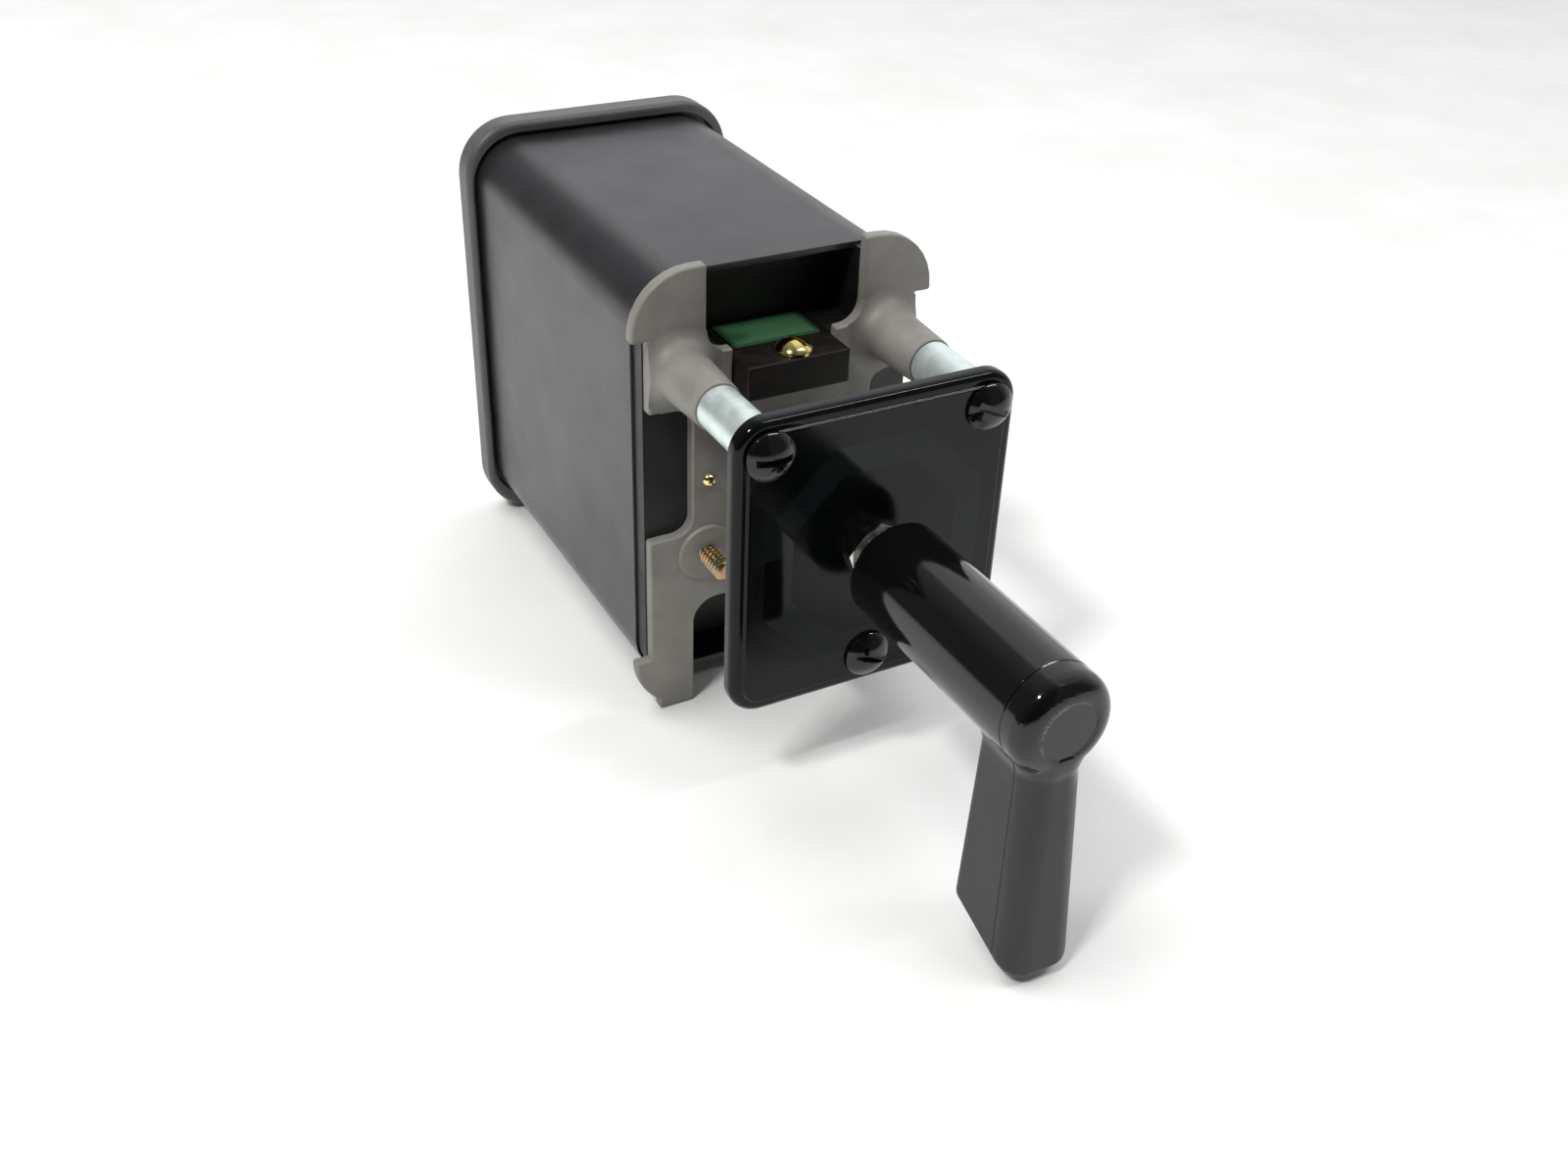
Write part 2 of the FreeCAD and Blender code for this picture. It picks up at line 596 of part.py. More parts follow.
def cam_profile():
    """Two spiral flanks, one rising as the other falls, joined by round dwells."""
    low = CAM_RADIUS - LIFT_RATE * FLANK
    high = CAM_RADIUS + LIFT_RATE * FLANK

    def at(angle, radius):
        return V(radius * math.cos(angle), 0, radius * math.sin(angle))

    def spiral(centre, slope):
        points = []
        for i in range(9):
            offset = -FLANK + 2 * FLANK * i / 8
            points.append(at(centre + offset, CAM_RADIUS + slope * LIFT_RATE * offset))
        curve = Part.BSplineCurve()
        curve.interpolate(points)
        return curve.toShape()

    def dwell(start, end, radius):
        return Part.Arc(at(start, radius), at((start + end) / 2, radius), at(end, radius)).toShape()

    return Part.Wire([
        spiral(0.0, -1.0),
        dwell(FLANK, math.pi - FLANK, low),
        spiral(math.pi, 1.0),
        dwell(math.pi + FLANK, 2 * math.pi - FLANK, high),
    ])


def cam(index):
    y0 = stage_start(index)
    lobe = extrude_y(cam_profile(), y0 + CAM_START, y0 + CAM_START + CAM_THICK)
    hub = rod_y((0, 0), HUB_OF_CAM, y0, y0 + STAGE_PITCH)
    return lobe.fuse(hub).cut(square_y(SHAFT_SQUARE, y0, y0 + STAGE_PITCH))


def carrier(side, index):
    """Sliding carrier: round nose on the cam, window for the moving contact, flat back for its spring."""
    y0 = stage_start(index) + CAM_START + SLIDING
    y1 = stage_start(index) + CAM_START + CAM_THICK - SLIDING
    start = NOSE_TIP + CARRIER_NOSE
    end = NOSE_TIP + CARRIER_LENGTH
    corners = [(start, CARRIER_HALF, 0), (end, CARRIER_HALF, 0.4), (end, -CARRIER_HALF, 0.4),
               (start, -CARRIER_HALF, 0), (NOSE_TIP, 0, CARRIER_NOSE)]
    solid = extrude_y(outline([(side * x, z, r) for x, z, r in corners]), y0, y1)
    middle = (y0 + y1) / 2
    x0, x1 = sorted((side * BRIDGE_INNER, side * (BRIDGE_INNER + BRIDGE_THICK)))
    window = box(x0, x1, middle - BRIDGE_WIDTH / 2, middle + BRIDGE_WIDTH / 2, -CARRIER_HALF, CARRIER_HALF)
    return solid.cut(window)


def moving_contact(side, index):
    """Bridge through the carrier with a contact point near each end."""
    middle = stage_start(index) + CAM_START + CAM_THICK / 2
    x0, x1 = sorted((side * BRIDGE_INNER, side * (BRIDGE_INNER + BRIDGE_THICK)))
    bridge = box(x0, x1, middle - BRIDGE_WIDTH / 2, middle + BRIDGE_WIDTH / 2, -BRIDGE_HALF, BRIDGE_HALF)
    for z in (-CONTACT_HEIGHT, CONTACT_HEIGHT):
        base = V(side * BRIDGE_INNER, middle, z)
        bridge = bridge.fuse(Part.makeCylinder(CONTACT_RADIUS, CONTACT_RISE, base, V(-side, 0, 0)))
    return bridge


def fixed_contacts(index):
    """Four strips, one above and one below each moving contact pair, each ending under a terminal screw."""
    middle = stage_start(index) + CAM_START + CAM_THICK / 2
    strips = []
    for side in (-1, 1):
        x0, x1 = sorted((side * (STRIP_FACE - STRIP_THICK), side * STRIP_FACE))
        for up in (-1, 1):
            z0, z1 = sorted((up * (CONTACT_HEIGHT - CONTACT_RADIUS), up * STRIP_END))
            strip = box(x0, x1, middle - STRIP_WIDTH / 2, middle + STRIP_WIDTH / 2, z0, z1)
            place = V(x0, middle, up * TERMINAL_HEIGHT)
            strips.append(strip.cut(Part.makeCylinder(TERMINAL_SCREW / 2, STRIP_THICK, place, V(1, 0, 0))))
    return group(strips)


def terminal_screws():
    screws = []
    for index in range(STAGES):
        middle = stage_start(index) + CAM_START + CAM_THICK / 2
        for side in (-1, 1):
            for z in (-TERMINAL_HEIGHT, TERMINAL_HEIGHT):
                length = STRIP_THICK + TERMINAL_BITE
                screw = screw_y(TERMINAL_SCREW, TERMINAL_HEAD, TERMINAL_HEAD_RISE, length, 90.0)
                screw.rotate(V(0, 0, 0), V(0, 0, 1), 90.0 * side)
                screws.append(placed(screw, side * STRIP_FACE, middle, z))
    return group(screws)


def spring_box(side):
    start = NOSE_TIP + CARRIER_LENGTH
    return start, start + SPRING_ROOM


def contact_springs(side):
    """One bowed flat spring behind each carrier."""
    start, end = spring_box(side)
    springs = []
    for index in range(STAGES):
        middle = stage_start(index) + CAM_START + CAM_THICK / 2
        reach = CARRIER_HALF - 0.6
        bow = [V(side * end, 0, -reach), V(side * (start + SPRING_THICK), 0, 0), V(side * end, 0, reach)]
        back = [V(side * end, 0, reach - 0.8), V(side * (start + 2 * SPRING_THICK), 0, 0),
                V(side * end, 0, -reach + 0.8)]
        edges = [Part.Arc(bow[0], bow[1], bow[2]).toShape(), Part.makeLine(bow[2], back[0]),
                 Part.Arc(back[0], back[1], back[2]).toShape(), Part.makeLine(back[2], bow[0])]
        springs.append(extrude_y(Part.Wire(edges), middle - SPRING_HALF_WIDTH, middle + SPRING_HALF_WIDTH))
    return group(springs)


def stage_block(index):
    y0 = stage_start(index)
    y1 = y0 + STAGE_PITCH
    inside = y0 + STAGE_WALL
    middle = y0 + CAM_START + CAM_THICK / 2
    block = rounded_block(STAGE_HALF, STAGE_BOTTOM, STAGE_TOP, STAGE_CORNER, y0, y1)
    cam_room = CAM_RADIUS + LIFT_RATE * FLANK + LOOSE
    block = block.cut(rod_y((0, 0), cam_room, inside, y1))
    block = block.cut(rod_y((0, 0), HUB_OF_CAM + LOOSE, y0, y1))
    spring_end = spring_box(1)[1]
    guide = CARRIER_HALF + SLIDING
    block = block.cut(box(-spring_end, spring_end, inside, y1, -guide, guide))
    strip_half = STRIP_WIDTH / 2 + SLIDING
    strip_back = STRIP_FACE - STRIP_THICK
    travel_end = BRIDGE_INNER + BRIDGE_THICK + LIFT + SLIDING
    for side in (-1, 1):
        x0, x1 = sorted((side * strip_back, side * travel_end))
        block = block.cut(box(x0, x1, inside, y1, -POCKET_HEIGHT, POCKET_HEIGHT))
        x0, x1 = sorted((side * strip_back, side * STRIP_FACE))
        for up in (-1, 1):
            z0, z1 = sorted((up * CARRIER_HALF, up * STRIP_END))
            block = block.cut(box(x0, x1, middle - strip_half, y1, z0, z1))
            place = up * TERMINAL_HEIGHT
            half = TERMINAL_POCKET / 2
            px0, px1 = sorted((side * STRIP_FACE, side * (STAGE_HALF + 1.0)))
            block = block.cut(box(px0, px1, inside + 1.0, y1 - 1.0, place - half, place + half))
            axis = V(side * (STRIP_FACE - STRIP_THICK - TERMINAL_BITE), middle, place)
            tapped = Part.makeCylinder(TERMINAL_SCREW / 2, TERMINAL_BITE + STRIP_THICK, axis, V(side, 0, 0))
            block = block.cut(tapped)
    return clear_rods(block, y0, y1)


# ---- rear end ------------------------------------------------------------------------------------
def rear_barrier():
    y0 = STAGE_END
    y1 = y0 + BARRIER_THICK
    sheet = rounded_block(STAGE_HALF, STAGE_BOTTOM, STAGE_TOP, STAGE_CORNER, y0, y1)
    sheet = sheet.cut(rod_y((0, 0), JOURNAL_DIAMETER / 2 + BUSH_WALL + LOOSE, y0, y1))
    return clear_rods(sheet, y0, y1)


def rear_plate():
    y0 = STAGE_END + BARRIER_THICK
    inset = REAR_PLATE_INSET
    plate = rounded_block(STAGE_HALF - inset, STAGE_BOTTOM + inset, STAGE_TOP - inset, STAGE_CORNER - inset,
                          y0, PLATE_BACK)
    plate = plate.cut(rod_y((0, 0), JOURNAL_DIAMETER / 2 + BUSH_WALL, y0, PLATE_BACK))
    for z in (PILLAR_TOP, PILLAR_BOTTOM):
        plate = plate.cut(rod_y((0, z), CAP_SCREW_DIAMETER / 2, y0, PLATE_BACK))
    return clear_rods(plate, y0, PLATE_BACK)


def rear_bush():
    bore = JOURNAL_DIAMETER / 2 + RUNNING
    return tube_y((0, 0), JOURNAL_DIAMETER / 2 + BUSH_WALL, bore, STAGE_END + 0.4, PLATE_BACK)


def tie_rods():
    rods = [rod_y(p, ROD_DIAMETER / 2, SUPPORT_FRONT - ROD_PROUD, ROD_END) for p in LOWER_RODS]
    rods += [rod_y(p, ROD_DIAMETER / 2, SUPPORT_BACK - UPPER_ROD_BITE, ROD_END) for p in UPPER_RODS]
    chamfered = []
    for rod in rods:
        rims = [e for e in rod.Edges if e.Curve.TypeId == "Part::GeomCircle"]
        chamfered.append(rod.makeChamfer(ROD_CHAMFER, rims))
    return group(chamfered)


def rod_washers():
    places = LOWER_RODS + UPPER_RODS
    inner = ROD_DIAMETER / 2
    outer = NUT_FLATS / 2 + 0.5
    return group([tube_y(p, outer, inner, PLATE_BACK, PLATE_BACK + WASHER_THICK) for p in places])


def rod_nuts():
    y0 = PLATE_BACK + WASHER_THICK
    y1 = y0 + NUT_THICK
    corners = NUT_FLATS / math.cos(math.radians(30))
    nuts = []
    for place in LOWER_RODS + UPPER_RODS:
        nuts.append(polygon_y(place, 6, corners, y0, y1).cut(rod_y(place, ROD_DIAMETER / 2, y0, y1)))
    return group(nuts)


def cap_pillars():
    """Round standoffs riveted to the rear plate, tapped for the screws that hold the cap."""
    y0 = STAGE_END + BARRIER_THICK
    inside = CAP_REAR - CAP_WALL
    pillars = []
    for z in (PILLAR_TOP, PILLAR_BOTTOM):
        pillar = rod_y((0, z), PILLAR_DIAMETER / 2, PLATE_BACK, inside)
        pillar = pillar.fuse(rod_y((0, z), CAP_SCREW_DIAMETER / 2, y0, PLATE_BACK))
        tapped = rod_y((0, z), CAP_SCREW_DIAMETER / 2 - THREAD_DEPTH, inside - CAP_SCREW_BITE - 1.0, inside)
        pillars.append(pillar.cut(tapped))
    return group(pillars)


def cap_screws():
    screws = []
    seat = CAP_SCREW_RISE + CAP_SCREW_SUNK
    diameter = CAP_SCREW_DIAMETER - 2 * THREAD_DEPTH
    for z in (PILLAR_TOP, PILLAR_BOTTOM):
        screw = screw_y(diameter, CAP_SCREW_HEAD, CAP_SCREW_RISE, CAP_WALL - seat + CAP_SCREW_BITE)
        screw.rotate(V(0, 0, 0), V(0, 0, 1), 180.0)
        screws.append(placed(screw, 0, CAP_REAR - seat, z))
    return group(screws)


# ---- cover and cap -------------------------------------------------------------------------------
def cover():
    rear = CAP_FRONT + CAP_LIP
    outer = rounded_block(COVER_HALF, COVER_BOTTOM, COVER_TOP, COVER_CORNER, COVER_FRONT, rear)
    inner = rounded_block(INNER_HALF, INNER_BOTTOM, INNER_TOP, COVER_CORNER - COVER_WALL, COVER_FRONT, rear)
    return outer.cut(inner)


def rear_cap():
    cap = rounded_block(CAP_HALF, EAR_BOTTOM, EAR_TOP, CAP_CORNER, CAP_FRONT, CAP_REAR)
    rear_edges = [e for e in cap.Edges if abs(e.BoundBox.YMin - CAP_REAR) < 1e-6]
    cap = cap.makeFillet(CAP_EDGE, rear_edges)
    seat = rounded_block(COVER_HALF + SLIDING, COVER_BOTTOM - SLIDING, COVER_TOP + SLIDING,
                         COVER_CORNER + SLIDING, CAP_FRONT, CAP_FRONT + CAP_LIP)
    hollow = rounded_block(INNER_HALF, INNER_BOTTOM, INNER_TOP, COVER_CORNER - COVER_WALL,
                           CAP_FRONT, CAP_REAR - CAP_WALL)
    cap = cap.cut(seat).cut(hollow)
    for z in (PILLAR_TOP, PILLAR_BOTTOM):
        cap = cap.cut(rod_y((0, z), CAP_SCREW_DIAMETER / 2 + SLIDING, CAP_FRONT, CAP_REAR))
        seat = CAP_REAR - CAP_SCREW_RISE - CAP_SCREW_SUNK
        cap = cap.cut(rod_y((0, z), CAP_SCREW_HEAD / 2 + LOOSE, seat, CAP_REAR))
    return cap


# ---- terminal block ------------------------------------------------------------------------------
def terminal_block():
    block = box(-BLOCK_HALF, BLOCK_HALF, BLOCK_FRONT, STAGE_FRONT, BLOCK_BOTTOM, BLOCK_TOP)
    rim = [e for e in block.Edges if e.BoundBox.YMax < BLOCK_FRONT + 1e-6]
    block = block.makeFillet(BLOCK_EDGE, rim)
    bottom = V(BLOCK_SCREW_X, BLOCK_SCREW_Y, BLOCK_TOP - BLOCK_SCREW_BITE)
    return block.cut(Part.makeCylinder(BLOCK_SCREW_DIAMETER / 2, BLOCK_SCREW_BITE, bottom, V(0, 0, 1)))


def terminal_screw():
    screw = screw_y(BLOCK_SCREW_DIAMETER, BLOCK_SCREW_HEAD, BLOCK_SCREW_RISE, BLOCK_SCREW_BITE, 20.0)
    screw.rotate(V(0, 0, 0), V(1, 0, 0), -90.0)
    return placed(screw, BLOCK_SCREW_X, BLOCK_SCREW_Y, BLOCK_TOP)


def terminal_label():
    return box(-LABEL_HALF, LABEL_HALF, LABEL_FRONT, LABEL_REAR, BLOCK_TOP, BLOCK_TOP + LABEL_THICK)


# ---- shaft and handle ----------------------------------------------------------------------------
def operating_shaft():
    journal_end = PLATE_BACK + RING_GAP + RING_THICK + RING_WIDTH
    shaft = square_y(SHAFT_SQUARE, SHAFT_FRONT, SHAFT_ROUND_FRONT)
    shaft = shaft.common(rod_y((0, 0), SHAFT_DIAMETER / 2, SHAFT_FRONT, SHAFT_ROUND_FRONT))
    shaft = shaft.fuse(rod_y((0, 0), SHAFT_DIAMETER / 2, SHAFT_ROUND_FRONT, STOP_FRONT))
    shaft = shaft.fuse(square_y(SHAFT_SQUARE, STOP_FRONT, STAGE_END))
    shaft = shaft.fuse(rod_y((0, 0), JOURNAL_DIAMETER / 2, STAGE_END, journal_end))
    groove_start = PLATE_BACK + RING_GAP
    groove = tube_y((0, 0), JOURNAL_DIAMETER, JOURNAL_DIAMETER / 2 - RING_GROOVE, groove_start,
                    groove_start + RING_THICK)
    tapped = rod_y((0, 0), HANDLE_SCREW_DIAMETER / 2, SHAFT_FRONT, SHAFT_FRONT + HANDLE_SCREW_LENGTH)
    return shaft.cut(groove).cut(tapped)


def retaining_ring():
    y0 = PLATE_BACK + RING_GAP
    outer = JOURNAL_DIAMETER / 2 + RING_WIDTH
    inner = JOURNAL_DIAMETER / 2 - RING_GROOVE
    ring = tube_y((0, 0), outer, inner, y0, y0 + RING_THICK)
    return ring.cut(box(-RING_WIDTH, RING_WIDTH, y0, y0 + RING_THICK, -JOURNAL_DIAMETER, 0))


def grip_wire(share, inset):
    """Closed wire of one level slice of the grip, share 0 at the shaft axis and 1 at the toe."""
    half = GRIP_HALF_TOP + share * (GRIP_HALF_BOTTOM - GRIP_HALF_TOP) - inset
    rear = GRIP_REAR_TOP + share * (GRIP_REAR_BOTTOM - GRIP_REAR_TOP) - inset
    front = GRIP_FRONT_TOP + share * (GRIP_FRONT_BOTTOM - GRIP_FRONT_TOP) + inset
    wire = outline([(-half, rear, GRIP_BACK_CORNER), (half, rear, GRIP_BACK_CORNER),
                    (half, front, GRIP_CROWN), (-half, front, GRIP_CROWN)])
    wire.rotate(V(0, 0, 0), V(1, 0, 0), -90.0)
    wire.translate(V(0, 0, share * GRIP_TOE))
    return wire


def prism_x(points, half_width):
    """Solid with the given (y, z) outline, from -half_width to half_width in X."""
    corners = [V(-half_width, y, z) for y, z in points]
    return Part.Face(Part.makePolygon(corners + corners[:1])).extrude(V(2 * half_width, 0, 0))


def handle_form(inset):
    """Outer form of the whole handle, or the same form shrunk all round by inset."""
    front = TUBE_FRONT + inset
    tube = rod_y((0, 0), TUBE_DIAMETER / 2 - inset, front, TUBE_REAR)
    rim = [e for e in tube.Edges if e.BoundBox.YMax < front + 1e-6]
    tube = tube.makeFillet(CAP_ROUNDING, rim)
    grip = Part.makeLoft([grip_wire(0.0, inset), grip_wire(1.2, inset)], True, True)
    slope = (GRIP_TOE - GRIP_HEEL) / (GRIP_FRONT_BOTTOM - GRIP_REAR_BOTTOM)
    rear_y = GRIP_REAR_BOTTOM + GRIP_SPARE
    front_y = GRIP_FRONT_BOTTOM - GRIP_SPARE
    rear_z = GRIP_HEEL + slope * GRIP_SPARE + inset
    front_z = GRIP_HEEL + slope * (front_y - GRIP_REAR_BOTTOM) + inset
    floor = GRIP_TOE - 2 * GRIP_SPARE
    foot = [(rear_y, rear_z), (front_y, front_z), (front_y, floor), (rear_y, floor)]
    grip = grip.cut(prism_x(foot, GRIP_SPARE))
    bottom = [e for e in grip.Edges if e.BoundBox.ZMax < GRIP_HEEL + inset + 0.6]
    grip = grip.makeFillet(GRIP_BOTTOM_EDGE, bottom)
    return tube.fuse(grip).removeSplitter()


def front_region(shift):
    """Everything ahead of the leaning parting plane, moved back by shift."""
    high = TUBE_DIAMETER
    low = GRIP_TOE - GRIP_SPARE
    slope = math.tan(math.radians(PARTING_LEAN))
    start = TUBE_PARTING + shift
    ahead = GRIP_FRONT_BOTTOM - GRIP_SPARE
    corners = [(start + slope * high, high), (start + slope * low, low), (ahead, low), (ahead, high)]
    return prism_x(corners, TUBE_DIAMETER)


def handle_halves():
    form = handle_form(0.0)
    skin = form.cut(handle_form(PARTING_GROOVE))
    seam = front_region(PARTING_GROOVE / 2).cut(front_region(-PARTING_GROOVE / 2))
    form = form.cut(skin.common(seam))
    form = form.cut(rod_y((0, 0), SHAFT_DIAMETER / 2 + SLIDING, SHAFT_ROUND_FRONT - SLIDING, TUBE_REAR))
    form = form.cut(square_y(SHAFT_SQUARE, SHAFT_FRONT - SLIDING, TUBE_REAR))
    screw_seat = SHAFT_FRONT - HANDLE_FLOOR
    form = form.cut(rod_y((0, 0), HANDLE_SCREW_DIAMETER / 2 + LOOSE, screw_seat, SHAFT_FRONT))
    form = form.cut(rod_y((0, 0), HANDLE_SCREW_HEAD / 2 + LOOSE, TUBE_PARTING + 1.0, screw_seat))
    ahead = front_region(0.0)
    return form.cut(ahead), form.common(ahead)


def handle_screw():
    length = HANDLE_FLOOR + HANDLE_SCREW_LENGTH - 1.0
    screw = screw_y(HANDLE_SCREW_DIAMETER, HANDLE_SCREW_HEAD, HANDLE_SCREW_RISE, length)
    return placed(screw, 0, SHAFT_FRONT - HANDLE_FLOOR, 0)


# ---- the assembly --------------------------------------------------------------------------------
keep("front_plate", front_plate())
keep("mounting_screws", mounting_screws())
keep("spacer_sleeves", spacer_sleeves())
keep("plate_collar", plate_collar())
keep("front_support", front_support())
keep("support_bush", support_bush())
keep("detent_housing_screws", small_screws())
keep("detent_housing", detent_housing())
keep("stop_pins", stop_pins())
keep("stop_arm", stop_arm())
keep("detent_wheel", detent_wheel())
keep("detent_spring_left", detent_spring(-1))
keep("detent_spring_right", detent_spring(1))
keep("terminal_block", terminal_block())
keep("terminal_block_screw", terminal_screw())
keep("terminal_label", terminal_label())
for stage in range(STAGES):
    number = stage + 1
    keep(f"stage_block_{number}", stage_block(stage))
    keep(f"cam_{number}", cam(stage))
    keep(f"fixed_contacts_{number}", fixed_contacts(stage))
    for side, word in ((-1, "left"), (1, "right")):
        keep(f"contact_carrier_{word}_{number}", carrier(side, stage))
for side, word in ((-1, "left"), (1, "right")):
    keep("moving_contacts_" + word, group([moving_contact(side, stage) for stage in range(STAGES)]))
    keep("contact_springs_" + word, contact_springs(side))
keep("terminal_screws", terminal_screws())
keep("rear_barrier", rear_barrier())
keep("rear_plate", rear_plate())
keep("rear_bush", rear_bush())
keep("tie_rods", tie_rods())
keep("tie_rod_washers", rod_washers())
keep("tie_rod_nuts", rod_nuts())
keep("cap_pillars", cap_pillars())
keep("cap_screws", cap_screws())
keep("cover", cover())
keep("rear_cap", rear_cap())
keep("operating_shaft", operating_shaft())
keep("retaining_ring", retaining_ring())
handle_rear, handle_front = handle_halves()
keep("handle_body", handle_rear)
keep("handle_front", handle_front)
keep("handle_screw", handle_screw())

os.makedirs("parts", exist_ok=True)
for name, shape in nodes.items():
    if not shape.isValid():
        raise ValueError(name + " is not a valid shape")
    shape.exportStep("parts/" + name + ".step")
print(len(nodes), "nodes,", sum(len(shape.Solids) for shape in nodes.values()), "solids")
print("carrier travel per radian of the handle", round(LIFT_RATE, 5), "mm")
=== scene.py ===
# %% [markdown]
# # A rotary isolator switch
#
# The real object is a switch that is bolted to a control panel. A black pistol grip turns a square shaft;
# the shaft runs through a glossy black front plate, a grey die-cast support with three posts, and a stack
# of contact stages under a black cover with a moulded rear cap.
#
# The engineering model already holds every solid and every joint. The script loads that model as a fixed
# frame, keeps the nodes whose shape is right, and builds new meshes in the same places for the pieces
# where light would show that an engineering solid has no soft edges: castings, mouldings, screw heads.

# %% load the frame and remember its box
import json
import math

import bmesh
import bpy
import numpy as np
from mathutils import Matrix, Vector


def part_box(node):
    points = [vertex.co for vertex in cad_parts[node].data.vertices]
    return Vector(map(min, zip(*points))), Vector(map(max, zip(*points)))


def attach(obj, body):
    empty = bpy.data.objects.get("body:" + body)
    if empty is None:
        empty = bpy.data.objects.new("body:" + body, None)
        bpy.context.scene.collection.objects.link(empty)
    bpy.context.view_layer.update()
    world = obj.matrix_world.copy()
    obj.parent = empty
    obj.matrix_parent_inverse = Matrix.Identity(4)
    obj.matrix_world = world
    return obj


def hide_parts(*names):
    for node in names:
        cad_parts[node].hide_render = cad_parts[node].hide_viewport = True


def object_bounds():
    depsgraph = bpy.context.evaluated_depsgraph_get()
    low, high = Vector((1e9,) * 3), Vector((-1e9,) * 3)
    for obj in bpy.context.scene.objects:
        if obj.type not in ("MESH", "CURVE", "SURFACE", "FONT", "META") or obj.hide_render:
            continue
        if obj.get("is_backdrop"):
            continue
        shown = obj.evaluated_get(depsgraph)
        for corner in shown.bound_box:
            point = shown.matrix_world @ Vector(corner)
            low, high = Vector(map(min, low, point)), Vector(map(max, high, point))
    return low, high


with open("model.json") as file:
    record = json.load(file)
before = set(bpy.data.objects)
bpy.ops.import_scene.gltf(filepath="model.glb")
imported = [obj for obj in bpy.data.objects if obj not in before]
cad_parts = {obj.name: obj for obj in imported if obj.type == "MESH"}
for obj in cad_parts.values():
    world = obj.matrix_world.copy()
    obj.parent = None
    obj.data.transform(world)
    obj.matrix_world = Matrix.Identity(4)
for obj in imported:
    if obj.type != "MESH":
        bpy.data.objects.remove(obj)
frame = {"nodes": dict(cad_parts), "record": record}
cad_low, cad_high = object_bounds()
MM = 0.001
print("CAD box in mm:", [round(v / MM, 2) for v in cad_high - cad_low])

# %% [markdown]
# ## Where the dimensions come from
#
# A few places that several pieces share, such as the three fixing screws, are written down once here, in
# millimetres. X is to the right seen from the front, Y goes into the panel and Z is up. Everything below
# works in millimetres and turns to metres at the end.

# %% shared places, in millimetres
def node_box(name):
    """Lowest and highest corner of a CAD node, in millimetres."""
    low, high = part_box(name)
    return low / MM, high / MM


SCREWS = [(-22.225, 24.3), (22.225, 24.3), (0.0, -23.25)]
TIE_RODS = [(-16.4, -16.7), (16.4, -16.7)]
PLATE_LOW, PLATE_HIGH = node_box("front_plate")
SUPPORT_LOW, SUPPORT_HIGH = node_box("front_support")
COVER_LOW, COVER_HIGH = node_box("cover")
CAP_LOW, CAP_HIGH = node_box("rear_cap")
SLEEVE_END = node_box("spacer_sleeves")[1].y
FLOOR_LEVEL = SUPPORT_LOW.z
for name, size in (("plate", PLATE_HIGH - PLATE_LOW), ("cover", COVER_HIGH - COVER_LOW)):
    print(name, [round(v, 2) for v in size])

# %% [markdown]
# ## Camera
#
# The viewer stands to the front and left of the switch and looks down on it. A camera looks along its own
# minus Z with its own X to the right, so three directions at right angles are enough to build its matrix.
# That is easier to read than three Euler angles, and it keeps the slight roll of a camera held in the
# hand.

# %% camera from its place and its three directions
VIEWER_PLACE = (-136.65, -213.0, 155.3)
VIEWER_RIGHT = (0.881, -0.472, 0.033)
VIEWER_UP = (0.235, 0.498, 0.835)
LENS, SENSOR_WIDTH = 37.0, 36.0


def add_camera(name, place_mm, right, up):
    right = Vector(right).normalized()
    up = Vector(up)
    up = (up - right * up.dot(right)).normalized()
    back = right.cross(up)
    data = bpy.data.cameras.new(name)
    data.lens = LENS
    data.sensor_width = SENSOR_WIDTH
    data.clip_start = 0.005
    camera = bpy.data.objects.new(name, data)
    bpy.context.scene.collection.objects.link(camera)
    turn = Matrix((right, up, back)).transposed().to_4x4()
    camera.matrix_world = Matrix.Translation(Vector(place_mm) * MM) @ turn
    bpy.context.scene.camera = camera
    return camera


camera = add_camera("viewer", VIEWER_PLACE, VIEWER_RIGHT, VIEWER_UP)
print("camera", camera.name, "at", [round(v, 4) for v in camera.location])

# %% [markdown]
# ## Nodes and colours
#
# Every finish below is a small network of shader nodes. One function adds a node: keyword arguments set
# the node itself, and the dictionary fills its inputs, either with a number or with another node's
# output, which makes a link. Colours are written as sRGB hex codes, as a paint chart gives them, and one
# function turns them into the linear light that the shader works in.

# %% one function for colours, one for nodes
def linear(code):
    """'#rrggbb' as it looks on a screen, turned to linear red, green, blue and alpha."""
    shown = [int(code[i:i + 2], 16) / 255 for i in (1, 3, 5)]
    light = [c / 12.92 if c <= 0.04045 else ((c + 0.055) / 1.055) ** 2.4 for c in shown]
    return (*light, 1.0)


def add_node(tree, kind, inputs=None, **settings):
    node = tree.nodes.new(kind)
    for name, value in settings.items():
        setattr(node, name, value)
    for name, value in (inputs or {}).items():
        if isinstance(value, bpy.types.NodeSocket):
            tree.links.new(value, node.inputs[name])
        else:
            node.inputs[name].default_value = value
    return node


def per(size_mm):
    """Texture scale whose pattern repeats about every size_mm, since textures count per metre."""
    return 1.0 / (size_mm * MM)


print("mid grey #808080 is", round(linear("#808080")[0], 3), "in linear light")

# %% [markdown]
# ## A finish starts as one surface shader
#
# `start_finish` makes a material with its Principled shader and the position on the piece in metres. All
# pieces have their origin on the shaft axis, so that position is the same as the position on the switch,
# and a pattern runs on from one piece to the next. Numbers that are the same all over are set straight on
# the shader.

# %% starting a material
finishes = {}


